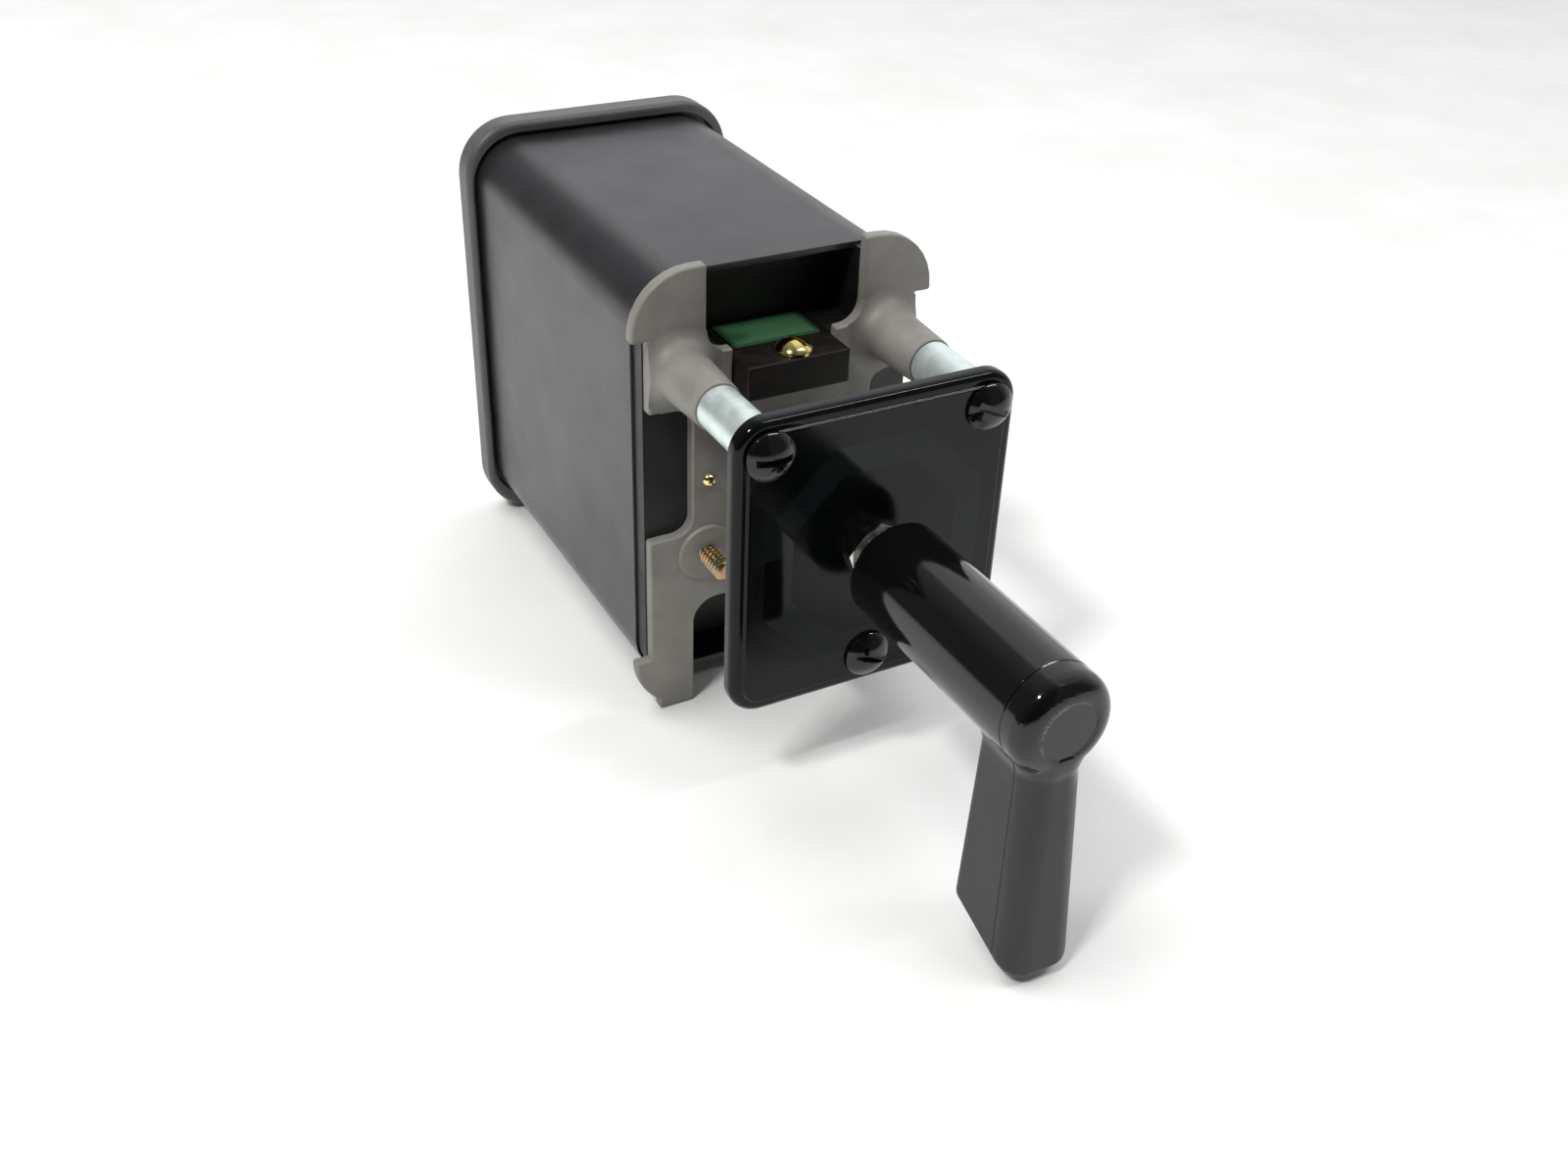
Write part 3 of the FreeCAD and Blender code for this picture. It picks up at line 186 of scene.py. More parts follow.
def start_finish(slot, name, colour, roughness, metallic=0.0, **more):
    """Adds a material for a material slot of the record; returns what its pattern is built on."""
    material = finishes[slot] = bpy.data.materials.new(name)
    material.use_nodes = True
    tree = material.node_tree
    tree.nodes.clear()
    shader = add_node(tree, "ShaderNodeBsdfPrincipled", {
        "Base Color": linear(colour), "Roughness": roughness, "Metallic": metallic, **more})
    add_node(tree, "ShaderNodeOutputMaterial", {"Surface": shader.outputs["BSDF"]})
    place = add_node(tree, "ShaderNodeTexCoord").outputs["Object"]
    return tree, shader, place


def fine_bump(tree, shader, height, depth_mm, before=None):
    """Feeds a height map into the shader's normal; depth_mm is how deep its full range really is."""
    bump = add_node(tree, "ShaderNodeBump", {"Height": height, "Distance": depth_mm * MM, "Strength": 1.0})
    if before is not None:
        tree.links.new(before.outputs["Normal"], bump.inputs["Normal"])
    tree.links.new(bump.outputs["Normal"], shader.inputs["Normal"])
    return bump


def grain(tree, shader, place, size_mm, depth_mm, detail=3.0, before=None):
    """A bump of cloudy noise whose lumps are about size_mm wide."""
    noise = add_node(tree, "ShaderNodeTexNoise", {"Vector": place, "Scale": per(size_mm), "Detail": detail})
    return fine_bump(tree, shader, noise.outputs["Fac"], depth_mm, before)


slots = {part["material_slot"] for part in frame["record"]["subparts"]}
print("material slots in the record:", len(slots))

# %% [markdown]
# ## Gloss black thermoset, for the front plate
#
# The plate is moulded in a hard black plastic against a polished mould, so it works like a dark mirror:
# almost no colour of its own, and a crisp reflection of the handle and the floor. Its index of refraction
# is that of most plastics, 1.5. What tells the eye that it is plastic is the faint orange peel, a
# waviness a few millimetres long and a few micrometres deep, and the light haze of a used part. Round the
# shaft lies an eight-sided legend ring that is polished more than the rest; its base colour is also a
# little lighter, a painted reflection that stands for the bright floor which the ring mirrors. Two fields
# at the left get a blacker base colour: painted shade for the dark corner and the shadowed floor that the
# plate mirrors there. No legend is drawn. The rim outside the raised field is as clean as the ring. The
# eight-sided ring needs no drawing: the larger of the two distances to the axis, straight and slanted, is
# the size of the octagon that a point lies on.

# %% gloss black thermoset
RING_MIDDLE, RING_HALF = 19.75, 2.85
# painted shade: the two boxes at the left of the plate get a blacker base colour for the dark reflections there
PAINTED_SHADE_FIELDS = [(("X", -21.6, 2.9), ("Z", -3.6, 6.6)), (("X", -20.6, 2.0), ("Z", -21.6, 1.7))]
RAISED_FIELD = (("X", 0.0, 25.6), ("Z", 0.3, 27.5))
tree, shader, place = start_finish(
    "gloss_black", "gloss_black_thermoset", "#0b0c0d", 0.07, IOR=1.5, **{"Specular IOR Level": 0.24})
grain(tree, shader, place, 5.0, 0.003, 1.0)
haze = add_node(tree, "ShaderNodeTexNoise", {
    "Vector": place, "Scale": per(9.0), "Detail": 6.0, "Roughness": 0.65})
axes = add_node(tree, "ShaderNodeSeparateXYZ", {"Vector": place})


def inside(tree, value, middle_mm, half_mm):
    """1 where value, in metres, is within half_mm of middle_mm."""
    return add_node(
        tree, "ShaderNodeMath", {0: value, 1: middle_mm * MM, 2: half_mm * MM}, operation="COMPARE")


def inside_box(tree, axes, *ranges):
    """1 where both axes are inside their (axis, middle, half) range in millimetres."""
    tests = [inside(tree, axes.outputs[axis], middle, half) for axis, middle, half in ranges]
    return add_node(
        tree, "ShaderNodeMath", {0: tests[0].outputs[0], 1: tests[1].outputs[0]}, operation="MULTIPLY")


def octagon_radius(tree, axes):
    """Distance from the shaft axis to the side of the regular octagon that a point lies on."""
    sizes = {}
    for i, axis in enumerate(("X", "Z")):
        size = add_node(tree, "ShaderNodeMath", {0: axes.outputs[axis]}, operation="ABSOLUTE")
        sizes[i] = size.outputs[0]
    level = add_node(tree, "ShaderNodeMath", sizes, operation="MAXIMUM")
    total = add_node(tree, "ShaderNodeMath", sizes, operation="ADD")
    slant = add_node(tree, "ShaderNodeMath", {0: total.outputs[0], 1: math.sqrt(0.5)}, operation="MULTIPLY")
    return add_node(tree, "ShaderNodeMath", {0: level.outputs[0], 1: slant.outputs[0]}, operation="MAXIMUM")


# the ring is polished; its lighter base colour in the next lines is a painted reflection of the bright floor
ring = inside(tree, octagon_radius(tree, axes).outputs[0], RING_MIDDLE, RING_HALF)
boxes = [inside_box(tree, axes, *ranges) for ranges in PAINTED_SHADE_FIELDS]
painted_shade_fields = add_node(
    tree, "ShaderNodeMath", {0: boxes[0].outputs[0], 1: boxes[1].outputs[0]}, operation="MAXIMUM")
ring_painted_sheen = add_node(tree, "ShaderNodeMix", {
    0: ring.outputs[0], 6: linear("#07090a"), 7: linear("#131718")}, data_type="RGBA")
# painted shade: a blacker base colour over the two fields at the left
painted_shade_colour = add_node(tree, "ShaderNodeMix", {
    0: painted_shade_fields.outputs[0], 6: ring_painted_sheen.outputs[2], 7: linear("#030404")}, data_type="RGBA")
tree.links.new(painted_shade_colour.outputs[2], shader.inputs["Base Color"])
dull = add_node(tree, "ShaderNodeMapRange", {
    "Value": haze.outputs["Fac"], "From Min": 0.35, "From Max": 0.75, "To Min": 0.12, "To Max": 0.22})
rough = add_node(tree, "ShaderNodeMix", {0: ring.outputs[0], 2: dull.outputs["Result"], 3: 0.05})
raised = inside_box(tree, axes, *RAISED_FIELD)
kept = add_node(tree, "ShaderNodeMix", {0: raised.outputs[0], 2: 0.05, 3: rough.outputs[0]})
tree.links.new(kept.outputs[0], shader.inputs["Roughness"])
print("plate finish has", len(tree.nodes), "nodes")

# %% [markdown]
# ## A blotchy colour and a grain, shared by most finishes
#
# Castings, mouldings and plated steel all vary in two ways: slowly, over several millimetres, in colour
# and roughness, and finely, in the grain of the surface. One helper mixes two colours by a cloudy noise
# and spreads the roughness over a range; the grain is the bump made above. Each finish below gives the
# real sizes.

# %% cloudy colour and roughness
SPREAD_LOW, SPREAD_HIGH = 0.32, 0.68


def cloud(tree, shader, place, size_mm, dark, light, rough_low, rough_high, detail=4.0):
    noise = add_node(tree, "ShaderNodeTexNoise", {
        "Vector": place, "Scale": per(size_mm), "Detail": detail, "Roughness": 0.6})
    spread = add_node(tree, "ShaderNodeMapRange", {
        "Value": noise.outputs["Fac"], "From Min": SPREAD_LOW, "From Max": SPREAD_HIGH})
    colour = add_node(tree, "ShaderNodeMix", {
        0: spread.outputs["Result"], 6: linear(dark), 7: linear(light)}, data_type="RGBA")
    rough = add_node(tree, "ShaderNodeMapRange", {
        "Value": noise.outputs["Fac"], "From Min": SPREAD_LOW, "From Max": SPREAD_HIGH,
        "To Min": rough_low, "To Max": rough_high})
    tree.links.new(colour.outputs[2], shader.inputs["Base Color"])
    tree.links.new(rough.outputs["Result"], shader.inputs["Roughness"])


print("a cloud spreads the noise from", SPREAD_LOW, "to", SPREAD_HIGH)


# %% [markdown]
# ## Black enamel on the fixing screws, satin moulding on the cover and the cap
#
# The screw heads are stamped steel under a thick black enamel: glossy, slightly blobby. The cover is a
# moulded phenolic box with a semi-gloss skin. Black plastic shows almost only what it reflects, so its
# roughness decides how it looks: at about 0.35 the pale room turns into broad soft gradients. Its walls
# have sunk by a tenth of a millimetre over some 30 mm, as moulded walls do. The grain of the mould is
# about 0.3 mm, drawn at 0.6 mm so that it still shows. The cap comes from a coarser mould and is a little
# duller and greyer. The stage blocks inside are of the same phenolic with a matt skin.

# %% enamel, cover and cap finishes
tree, shader, place = start_finish("black_screw", "black_enamel_on_steel", "#0a0a0b", 0.1, IOR=1.5)
cloud(tree, shader, place, 6.0, "#08080a", "#0f0f11", 0.06, 0.16)
grain(tree, shader, place, 2.5, 0.012, 1.0)

tree, shader, place = start_finish("black_enamel", "semi_gloss_phenolic", "#1d1c1e", 0.34, IOR=1.55)
cloud(tree, shader, place, 14.0, "#1c1b1d", "#252326", 0.29, 0.38, 6.0)
sag = grain(tree, shader, place, 32.0, 0.12, 0.0)
grain(tree, shader, place, 0.6, 0.012, 2.0, before=sag)

tree, shader, place = start_finish("black_moulding", "satin_cap_moulding", "#4a4b4a", 0.42, IOR=1.5)
cloud(tree, shader, place, 10.0, "#454645", "#565754", 0.36, 0.48, 5.0)
grain(tree, shader, place, 0.7, 0.02)

tree, shader, place = start_finish("black_phenolic", "black_phenolic_block", "#121213", 0.5, IOR=1.55)
cloud(tree, shader, place, 8.0, "#0e0e0f", "#181819", 0.42, 0.58, 5.0)
grain(tree, shader, place, 0.8, 0.02)
print("finishes so far:", sorted(finishes))

# %% [markdown]
# ## The handle: polished tube, hand-worn grip
#
# Handle and cap are one phenolic moulding in two halves. The tube was polished and still shines, while
# years of hands have dulled the grip. So the roughness is a ramp over the height: low above the underside
# of the tube, high on the grip, with a cloud mixed in so that the change isn't a clean line.

# %% handle finish
tree, shader, place = start_finish(
    "gloss_black_handle", "polished_and_worn_phenolic", "#0d0d0e", 0.1, IOR=1.52)
axes = add_node(tree, "ShaderNodeSeparateXYZ", {"Vector": place})
worn = add_node(tree, "ShaderNodeTexNoise", {
    "Vector": place, "Scale": per(12.0), "Detail": 5.0, "Roughness": 0.6})
edge = add_node(tree, "ShaderNodeMath", {
    0: worn.outputs["Fac"], 1: 4.0 * MM, 2: axes.outputs["Z"]}, operation="MULTIPLY_ADD")
grip = add_node(tree, "ShaderNodeMapRange", {
    "Value": edge.outputs[0], "From Min": -7.0 * MM, "From Max": -11.0 * MM})
low = add_node(tree, "ShaderNodeMapRange", {"Value": worn.outputs["Fac"], "To Min": 0.05, "To Max": 0.12})
high = add_node(tree, "ShaderNodeMapRange", {"Value": worn.outputs["Fac"], "To Min": 0.34, "To Max": 0.5})
rough = add_node(tree, "ShaderNodeMix", {
    0: grip.outputs["Result"], 2: low.outputs["Result"], 3: high.outputs["Result"]})
tint = add_node(tree, "ShaderNodeMix", {
    0: grip.outputs["Result"], 6: linear("#0a0a0b"), 7: linear("#1b1b1d")}, data_type="RGBA")
tree.links.new(rough.outputs[0], shader.inputs["Roughness"])
tree.links.new(tint.outputs[2], shader.inputs["Base Color"])
waves = grain(tree, shader, place, 7.0, 0.01, 1.0)
pores = add_node(tree, "ShaderNodeTexNoise", {"Vector": place, "Scale": per(0.7), "Detail": 3.0})
depth = add_node(
    tree, "ShaderNodeMath", {0: pores.outputs["Fac"], 1: grip.outputs["Result"]}, operation="MULTIPLY")
fine_bump(tree, shader, depth.outputs[0], 0.015, before=waves)
print("handle finish has", len(tree.nodes), "nodes")

# %% [markdown]
# ## Die-cast zinc
#
# The support is pressure die-cast zinc, left as it came from the mould. Its skin of warm grey oxide hides
# the metal and scatters light much as a matt paint does: what faces the lamp is pale and what faces the
# viewer is dark. A bare metal would mirror the floor instead, so the metallic value is only 0.1. Flow
# marks make clouds about 8 mm wide, and the skin has a grain of about 0.4 mm, drawn at 0.5 mm.

# %% die-cast zinc
tree, shader, place = start_finish("die_cast_zinc", "die_cast_zinc", "#817e78", 0.5, metallic=0.1)
cloud(tree, shader, place, 8.0, "#7a7771", "#8b8882", 0.42, 0.58, 6.0)
flow = grain(tree, shader, place, 3.0, 0.05, 4.0)
grain(tree, shader, place, 0.5, 0.03, before=flow)
print("support:", finishes["die_cast_zinc"].name)

# %% [markdown]
# ## Plated and turned metals
#
# The sleeves are steel tube, turned and zinc plated with a clear blue passivate. A lathe leaves fine
# rings round the axis; theirs are about 0.1 mm apart, drawn at 0.8 mm so that they show. A wave texture
# along Y, the axis of every turned piece here, gives the rings, and a little distortion keeps them from
# looking machine drawn. Nickel, brass, bronze and plain steel differ in colour and polish. The passivate
# is a thin milky layer, so the sleeves are a little less metallic than bare metal. The tie rods are
# yellow chromate, whose thin film shifts between straw, pink and green.

# %% turned metals
def lathe_rings(tree, shader, place, pitch_mm, depth_mm):
    rings = add_node(tree, "ShaderNodeTexWave", {
        "Vector": place, "Scale": math.pi / 10 * per(pitch_mm), "Distortion": 0.6, "Detail": 2.0,
        "Detail Scale": 3.0}, wave_type="BANDS", bands_direction="Y")
    return fine_bump(tree, shader, rings.outputs["Fac"], depth_mm)


# dark and light colour, roughness from and to, metallic, and in mm: cloud size, ring pitch, ring depth
METALS = {
    "zinc_plated": ("#d3e4e0", "#f2fbf8", 0.3, 0.46, 0.75, 3.0, 0.8, 0.03),
    "nickel_plated": ("#b9b4a9", "#d9d6ce", 0.12, 0.25, 1.0, 2.0, 0.5, 0.006),
    "brass": ("#dfc873", "#f0e2a4", 0.08, 0.2, 1.0, 2.5, 0.5, 0.003),
    "bronze": ("#8a5f38", "#a97a4b", 0.3, 0.45, 1.0, 3.0, 0.5, 0.01),
    "steel": ("#8f9194", "#b4b6b8", 0.2, 0.38, 1.0, 3.0, 0.5, 0.01),
    "spring_steel": ("#7b7f86", "#9da1a6", 0.22, 0.34, 1.0, 2.0, 0.5, 0.006),
}
for slot, (dark, light, rough_low, rough_high, metallic, size, pitch, depth) in METALS.items():
    tree, shader, place = start_finish(slot, slot + "_turned", dark, rough_low, metallic)
    cloud(tree, shader, place, size, dark, light, rough_low, rough_high)
    lathe_rings(tree, shader, place, pitch, depth)

tree, shader, place = start_finish("yellow_zinc", "yellow_chromate", "#c8b070", 0.3, metallic=1.0)
film = add_node(tree, "ShaderNodeTexNoise", {"Vector": place, "Scale": per(5.0), "Detail": 2.0})
ramp = add_node(tree, "ShaderNodeValToRGB", {"Fac": film.outputs["Fac"]})
for position, code in ((0.35, "#b8a15a"), (0.48, "#d2bd7e"), (0.58, "#c99c86"), (0.68, "#9fae86")):
    stop = ramp.color_ramp.elements.new(position)
    stop.color = linear(code)
ramp.color_ramp.elements.remove(ramp.color_ramp.elements[0])
ramp.color_ramp.elements.remove(ramp.color_ramp.elements[-1])
tree.links.new(ramp.outputs["Color"], shader.inputs["Base Color"])
grain(tree, shader, place, 0.6, 0.01)
print("metals:", sorted(METALS))

# %% [markdown]
# ## Brown phenolic, green paper and pale nylon
#
# The terminal block is an older, filled phenolic: nearly black, with a brown cast and a dull mottled
# skin. The label is printed green paper; its printing is left out, and what stays is a darker printed
# border and the fibres of the paper. The cams inside are natural nylon, pale and slightly waxy.

# %% block, label and nylon
tree, shader, place = start_finish(
    "brown_phenolic", "brown_phenolic", "#100c0a", 0.5, IOR=1.55, **{"Specular IOR Level": 0.25})
cloud(tree, shader, place, 3.0, "#0d0a08", "#1a1410", 0.44, 0.6, 5.0)
grain(tree, shader, place, 0.6, 0.02)

tree, shader, place = start_finish("green_label", "green_paper_label", "#2f6a3c", 0.55)
axes = add_node(tree, "ShaderNodeSeparateXYZ", {"Vector": place})
LABEL_LOW, LABEL_HIGH = node_box("terminal_label")
middle = (LABEL_LOW + LABEL_HIGH) / 2
half = (LABEL_HIGH - LABEL_LOW) / 2
border = 0.9
panel = inside_box(tree, axes, ("X", middle.x, half.x - border), ("Y", middle.y, half.y - border))
fibres = add_node(tree, "ShaderNodeTexNoise", {
    "Vector": place, "Scale": per(0.8), "Detail": 6.0, "Roughness": 0.7})
paper = add_node(tree, "ShaderNodeMix", {
    0: fibres.outputs["Fac"], 6: linear("#2c5637"), 7: linear("#44714e")}, data_type="RGBA")
printed = add_node(tree, "ShaderNodeMix", {
    0: panel.outputs[0], 6: linear("#1e4529"), 7: paper.outputs[2]}, data_type="RGBA")
tree.links.new(printed.outputs[2], shader.inputs["Base Color"])
fine_bump(tree, shader, fibres.outputs["Fac"], 0.02)

tree, shader, place = start_finish("cam_nylon", "natural_nylon", "#d9d2bf", 0.4, IOR=1.53)
cloud(tree, shader, place, 4.0, "#cfc7b2", "#e2dccb", 0.34, 0.48)
grain(tree, shader, place, 0.8, 0.01)
print("finishes:", len(finishes))

# %% [markdown]
# ## Rounded outlines
#
# Plates, boxes and rings are all one idea: an outline in the XZ plane, carried along Y while it is moved
# inwards by a changing inset. Blender's bevelled curves can do that, but a filled curve gives a messy
# mesh, and a bevel modifier fails where corners are tight. So one function gives an outline as points,
# with the same number of points for every inset, and rings of equal length join up with plain four-sided
# faces.

# %% outline and skin
def outline(corners, y, inset=0.0, steps=6):
    """Points of a closed outline through (x, z, radius) corners, moved inwards by inset, at depth y."""
    count = len(corners)
    area = sum(corners[i - 1][0] * corners[i][1] - corners[i][0] * corners[i - 1][1] for i in range(count))
    points = []
    for i, (x, z, radius) in enumerate(corners):
        here = Vector((x, z))
        back = (Vector(corners[i - 1][:2]) - here).normalized()
        ahead = (Vector(corners[(i + 1) % count][:2]) - here).normalized()
        bulges = (ahead.x * back.y - ahead.y * back.x) * area > 0
        side = 1 if bulges else -1
        half = back.angle(ahead) / 2
        bisector = (back + ahead).normalized()
        corner = here + bisector * (side * inset / math.sin(half))
        arc = max(radius - side * inset, 0.002)
        middle = corner + bisector * (arc / math.sin(half))
        start = corner + back * (arc / math.tan(half)) - middle
        end = corner + ahead * (arc / math.tan(half)) - middle
        across = (end - start * (end.dot(start) / start.length_squared)).normalized() * start.length
        sweep = math.pi - 2 * half
        for k in range(steps + 1):
            turn = sweep * k / steps
            spot = middle + start * math.cos(turn) + across * math.sin(turn)
            points.append(Vector((spot.x, y, spot.y)))
    return points


def circle(place, radius, y, steps=48, first=0.0):
    """Ring of points round the Y line through place."""
    angles = [first + 2 * math.pi * i / steps for i in range(steps)]
    return [Vector((place[0] + radius * math.cos(a), y, place[1] + radius * math.sin(a))) for a in angles]


def skin(mesh, rings, closed=False):
    """Joins rings of equal length with four-sided faces and returns the vertices of each ring."""
    made = [[mesh.verts.new(point) for point in ring] for ring in rings]
    pairs = list(zip(made, made[1:]))
    if closed:
        pairs.append((made[-1], made[0]))
    for low, high in pairs:
        for i in range(len(low)):
            mesh.faces.new((low[i - 1], low[i], high[i], high[i - 1]))
    return made


def fill(mesh, *loops):
    """Flat face bounded by the first loop of vertices, with the other loops as holes in it."""
    edges = []
    for loop in loops:
        for i in range(len(loop)):
            edge = mesh.edges.get((loop[i - 1], loop[i]))
            edges.append(edge or mesh.edges.new((loop[i - 1], loop[i])))
    bmesh.ops.triangle_fill(mesh, use_beauty=True, edges=edges)


def close_ends(mesh, rings):
    fill(mesh, rings[0])
    fill(mesh, rings[-1])


def rounding(radius, steps=6):
    """(inset, distance behind the front) pairs round a quarter circle, from the front face to the side."""
    turns = [math.pi / 2 * i / steps for i in range(steps + 1)]
    return [(radius * (1 - math.sin(t)), radius * (1 - math.cos(t))) for t in turns]


def mirrored(right_half):
    """Adds the left half, in the opposite order, to corners that are given for the right half."""
    return right_half + [(-x, z, radius) for x, z, radius in reversed(right_half)]


def box_outline(low, high, radius):
    return mirrored([(high.x, high.z, radius), (high.x, low.z, radius)])


print("the outline of the cover has", len(outline(box_outline(COVER_LOW, COVER_HIGH, 10.5), 0)), "points")

# %% [markdown]
# ## From a mesh in millimetres to a piece of the switch
#
# Each finished mesh becomes an object that rides on a body, stands for a CAD node and takes its finish.
# Smooth shading alone would drag the shine of a rounded edge across the flat face beside it, so faces
# that meet at a sharp angle are split, and a Weighted Normal modifier lets the large flat faces keep
# their own direction.

# %% making a piece
def add_piece(name, mesh, finish, body, *stands_for, sharp=32.0):
    bmesh.ops.remove_doubles(mesh, verts=mesh.verts, dist=1e-4)
    bmesh.ops.recalc_face_normals(mesh, faces=mesh.faces)
    bmesh.ops.scale(mesh, vec=(MM, MM, MM), verts=mesh.verts)
    data = bpy.data.meshes.new(name)
    mesh.to_mesh(data)
    mesh.free()
    data.polygons.foreach_set("use_smooth", [True] * len(data.polygons))
    data.set_sharp_from_angle(angle=math.radians(sharp))
    data.materials.append(finishes[finish])
    piece = bpy.data.objects.new(name, data)
    bpy.context.scene.collection.objects.link(piece)
    weights = piece.modifiers.new("flat faces first", "WEIGHTED_NORMAL")
    weights.keep_sharp = True
    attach(piece, body)
    if stands_for:
        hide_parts(*stands_for)
    print(name, "-", len(data.vertices), "vertices")
    return piece


# %% [markdown]
# ## Front plate
#
# The plate is a flat moulding with a well rounded rim. A raised field covers most of its face; the slope
# round that field is only half a millimetre high, yet it catches the ceiling light as a thin bright line,
# and that line is what makes the plate read as a moulding. It starts and ends level, like a soft S, so
# that no edge shows. The rim, the slope and the field are rings of the same outline.

# %% front plate
front = PLATE_LOW.y
CORNER, RIM, SHAFT_HOLE, SCREW_HOLE = 6.5, 1.5, 5.45, 2.8
FIELD_RISE, FIELD_INSET, SLOPE_WIDTH = 0.45, 2.15, 0.52
plate_outline = box_outline(PLATE_LOW, PLATE_HIGH, CORNER)
rear_edge = [(0.3, 0.0), (0.09, -0.09), (0.0, -0.3)]
profile = rear_edge + [(inset, front + FIELD_RISE + down) for inset, down in reversed(rounding(RIM))]
for t in [i / 12 for i in range(13)]:
    profile.append((FIELD_INSET + SLOPE_WIDTH * t, front + FIELD_RISE * (1 - t * t * (3 - 2 * t))))
mesh = bmesh.new()
rings = skin(mesh, [outline(plate_outline, y, inset, 12) for inset, y in profile])
holes = []
for place, radius in [((0.0, 0.0), SHAFT_HOLE)] + [(screw, SCREW_HOLE) for screw in SCREWS]:
    wall = skin(mesh, [circle(place, radius, 0.0), circle(place, radius, front)])
    holes.append(wall)
fill(mesh, rings[0], *[wall[0] for wall in holes])
fill(mesh, rings[-1], *[wall[1] for wall in holes])
add_piece("nameplate", mesh, "gloss_black", "housing", "front_plate")

# %% [markdown]
# ## Turned pieces
#
# Sleeves, screw heads and posts are turned or round, so each is a profile of (radius, y) pairs swept
# round a line along Y. A closed profile makes a ring with a hole; an open one that starts and ends on the
# axis makes a solid.

# %% sleeves
def lathe(mesh, place, profile, closed=False, steps=64, first=0.0):
    """Sweeps (radius, y) pairs round the Y line through place; a radius of 0 closes the end with a fan."""
    ends = [pair for pair in (profile[0], profile[-1]) if pair[0] == 0 and not closed]
    rings = [circle(place, radius, y, steps, first) for radius, y in profile if radius > 0]
    made = skin(mesh, rings, closed)
    for radius, y in ends:
        tip = mesh.verts.new((place[0], y, place[1]))
        ring = made[0] if (radius, y) == profile[0] else made[-1]
        for i in range(steps):
            mesh.faces.new((ring[i - 1], ring[i], tip))
    return made


SLEEVE_RADIUS, SLEEVE_BORE = 4.4, 2.72


def sleeve_profile(outer, bore, y0, y1, chamfer=0.3, worn=0.08):
    """Both ends have a chamfer whose outer corner is worn round."""
    front_end = [(bore, y0 + chamfer), (bore + chamfer, y0), (outer - chamfer, y0), (outer - worn, y0 + worn),
                 (outer, y0 + chamfer)]
    rear_end = [(outer, y1 - chamfer), (outer - worn, y1 - worn), (outer - chamfer, y1), (bore + chamfer, y1),
                (bore, y1 - chamfer)]
    return front_end + rear_end


mesh = bmesh.new()
for place in SCREWS:
    lathe(mesh, place, sleeve_profile(SLEEVE_RADIUS, SLEEVE_BORE, 0.0, SLEEVE_END), closed=True)
add_piece("turned_sleeves", mesh, "zinc_plated", "housing", "spacer_sleeves")

# %% [markdown]
# ## Joining and cutting solids
#
# A slot in a screw head or a post growing out of a plate is a Boolean: the Boolean modifier with the
# exact solver does it cleanly. The modifier works on objects, so a small helper wraps it, keeps the
# resulting mesh, and throws the helpers away, so that no hidden cutter stays in the scene. Most cutters
# and posts are lathed, and `turned` makes such an object in one line.

# %% Boolean helper
def to_object(mesh):
    bmesh.ops.recalc_face_normals(mesh, faces=mesh.faces)
    data = bpy.data.meshes.new("solid")
    mesh.to_mesh(data)
    mesh.free()
    solid = bpy.data.objects.new("solid", data)
    bpy.context.scene.collection.objects.link(solid)
    return solid


def turned(place, profile, steps=64):
    """A lathed solid as an object, ready to be joined or taken away."""
    mesh = bmesh.new()
    lathe(mesh, place, profile, steps=steps)
    return to_object(mesh)


def combine(base, others, operation, bevel=0.0):
    """Adds or takes away the other solids and returns a bmesh; all the objects are used up."""
    for other in others:
        step = base.modifiers.new("combine", "BOOLEAN")
        step.operation = operation
        step.solver = "EXACT"
        step.object = other
    if bevel:
        soft = base.modifiers.new("soften", "BEVEL")
        soft.width = bevel
        soft.segments = 2
        soft.limit_method = "ANGLE"
        soft.angle_limit = math.radians(35)
    data = bpy.data.meshes.new_from_object(base.evaluated_get(bpy.context.evaluated_depsgraph_get()))
    result = bmesh.new()
    result.from_mesh(data)
    bpy.data.meshes.remove(data)
    for used in [base, *others]:
        bpy.data.objects.remove(used)
    return result


def block(x0, x1, y0, y1, z0, z1):
    """Cutter with flat faces."""
    mesh = bmesh.new()
    corners = [(x0, z0), (x1, z0), (x1, z1), (x0, z1)]
    rings = skin(mesh, [[Vector((x, y, z)) for x, z in corners] for y in (y0, y1)])
    close_ends(mesh, rings)
    return mesh


# %% [markdown]
# ## Screw heads
#
# Round heads are domes on a short rim. The slot is a block taken away, turned to where the screwdriver
# left it. One function makes a head at the origin that looks along minus Y, and every screw of the switch
# is a copy.

# %% domed, slotted heads
RIM_SHARE, SLOT_FLOOR_SHARE, SLOT_WIDTH_SHARE = 0.22, 0.62, 0.14


def screw_head(diameter, rise, shank, length, slot_turn):
    """Head above y = 0 towards minus Y, with its shank towards plus Y, as a bmesh."""
    radius = diameter / 2
    rim = RIM_SHARE * rise
    crown = rise - rim
    ball = (radius ** 2 + crown ** 2) / (2 * crown)
    top = math.asin(radius / ball)
    dome = [(ball * math.sin(top * k / 20), -rise + ball * (1 - math.cos(top * k / 20))) for k in range(21)]
    profile = dome + [(radius, -0.1), (radius - 0.1, 0.0), (shank / 2, 0.0), (shank / 2, length - 0.4),
                      (shank / 2 - 0.4, length), (0, length)]
    mesh = bmesh.new()
    lathe(mesh, (0, 0), profile)
    width = SLOT_WIDTH_SHARE * diameter
    cutter = block(-diameter, diameter, -rise - 1.0, -SLOT_FLOOR_SHARE * rise, -width / 2, width / 2)
    bmesh.ops.rotate(cutter, verts=cutter.verts, matrix=Matrix.Rotation(math.radians(-slot_turn), 3, "Y"))
    return combine(to_object(mesh), [to_object(cutter)], "DIFFERENCE", bevel=0.014 * diameter)


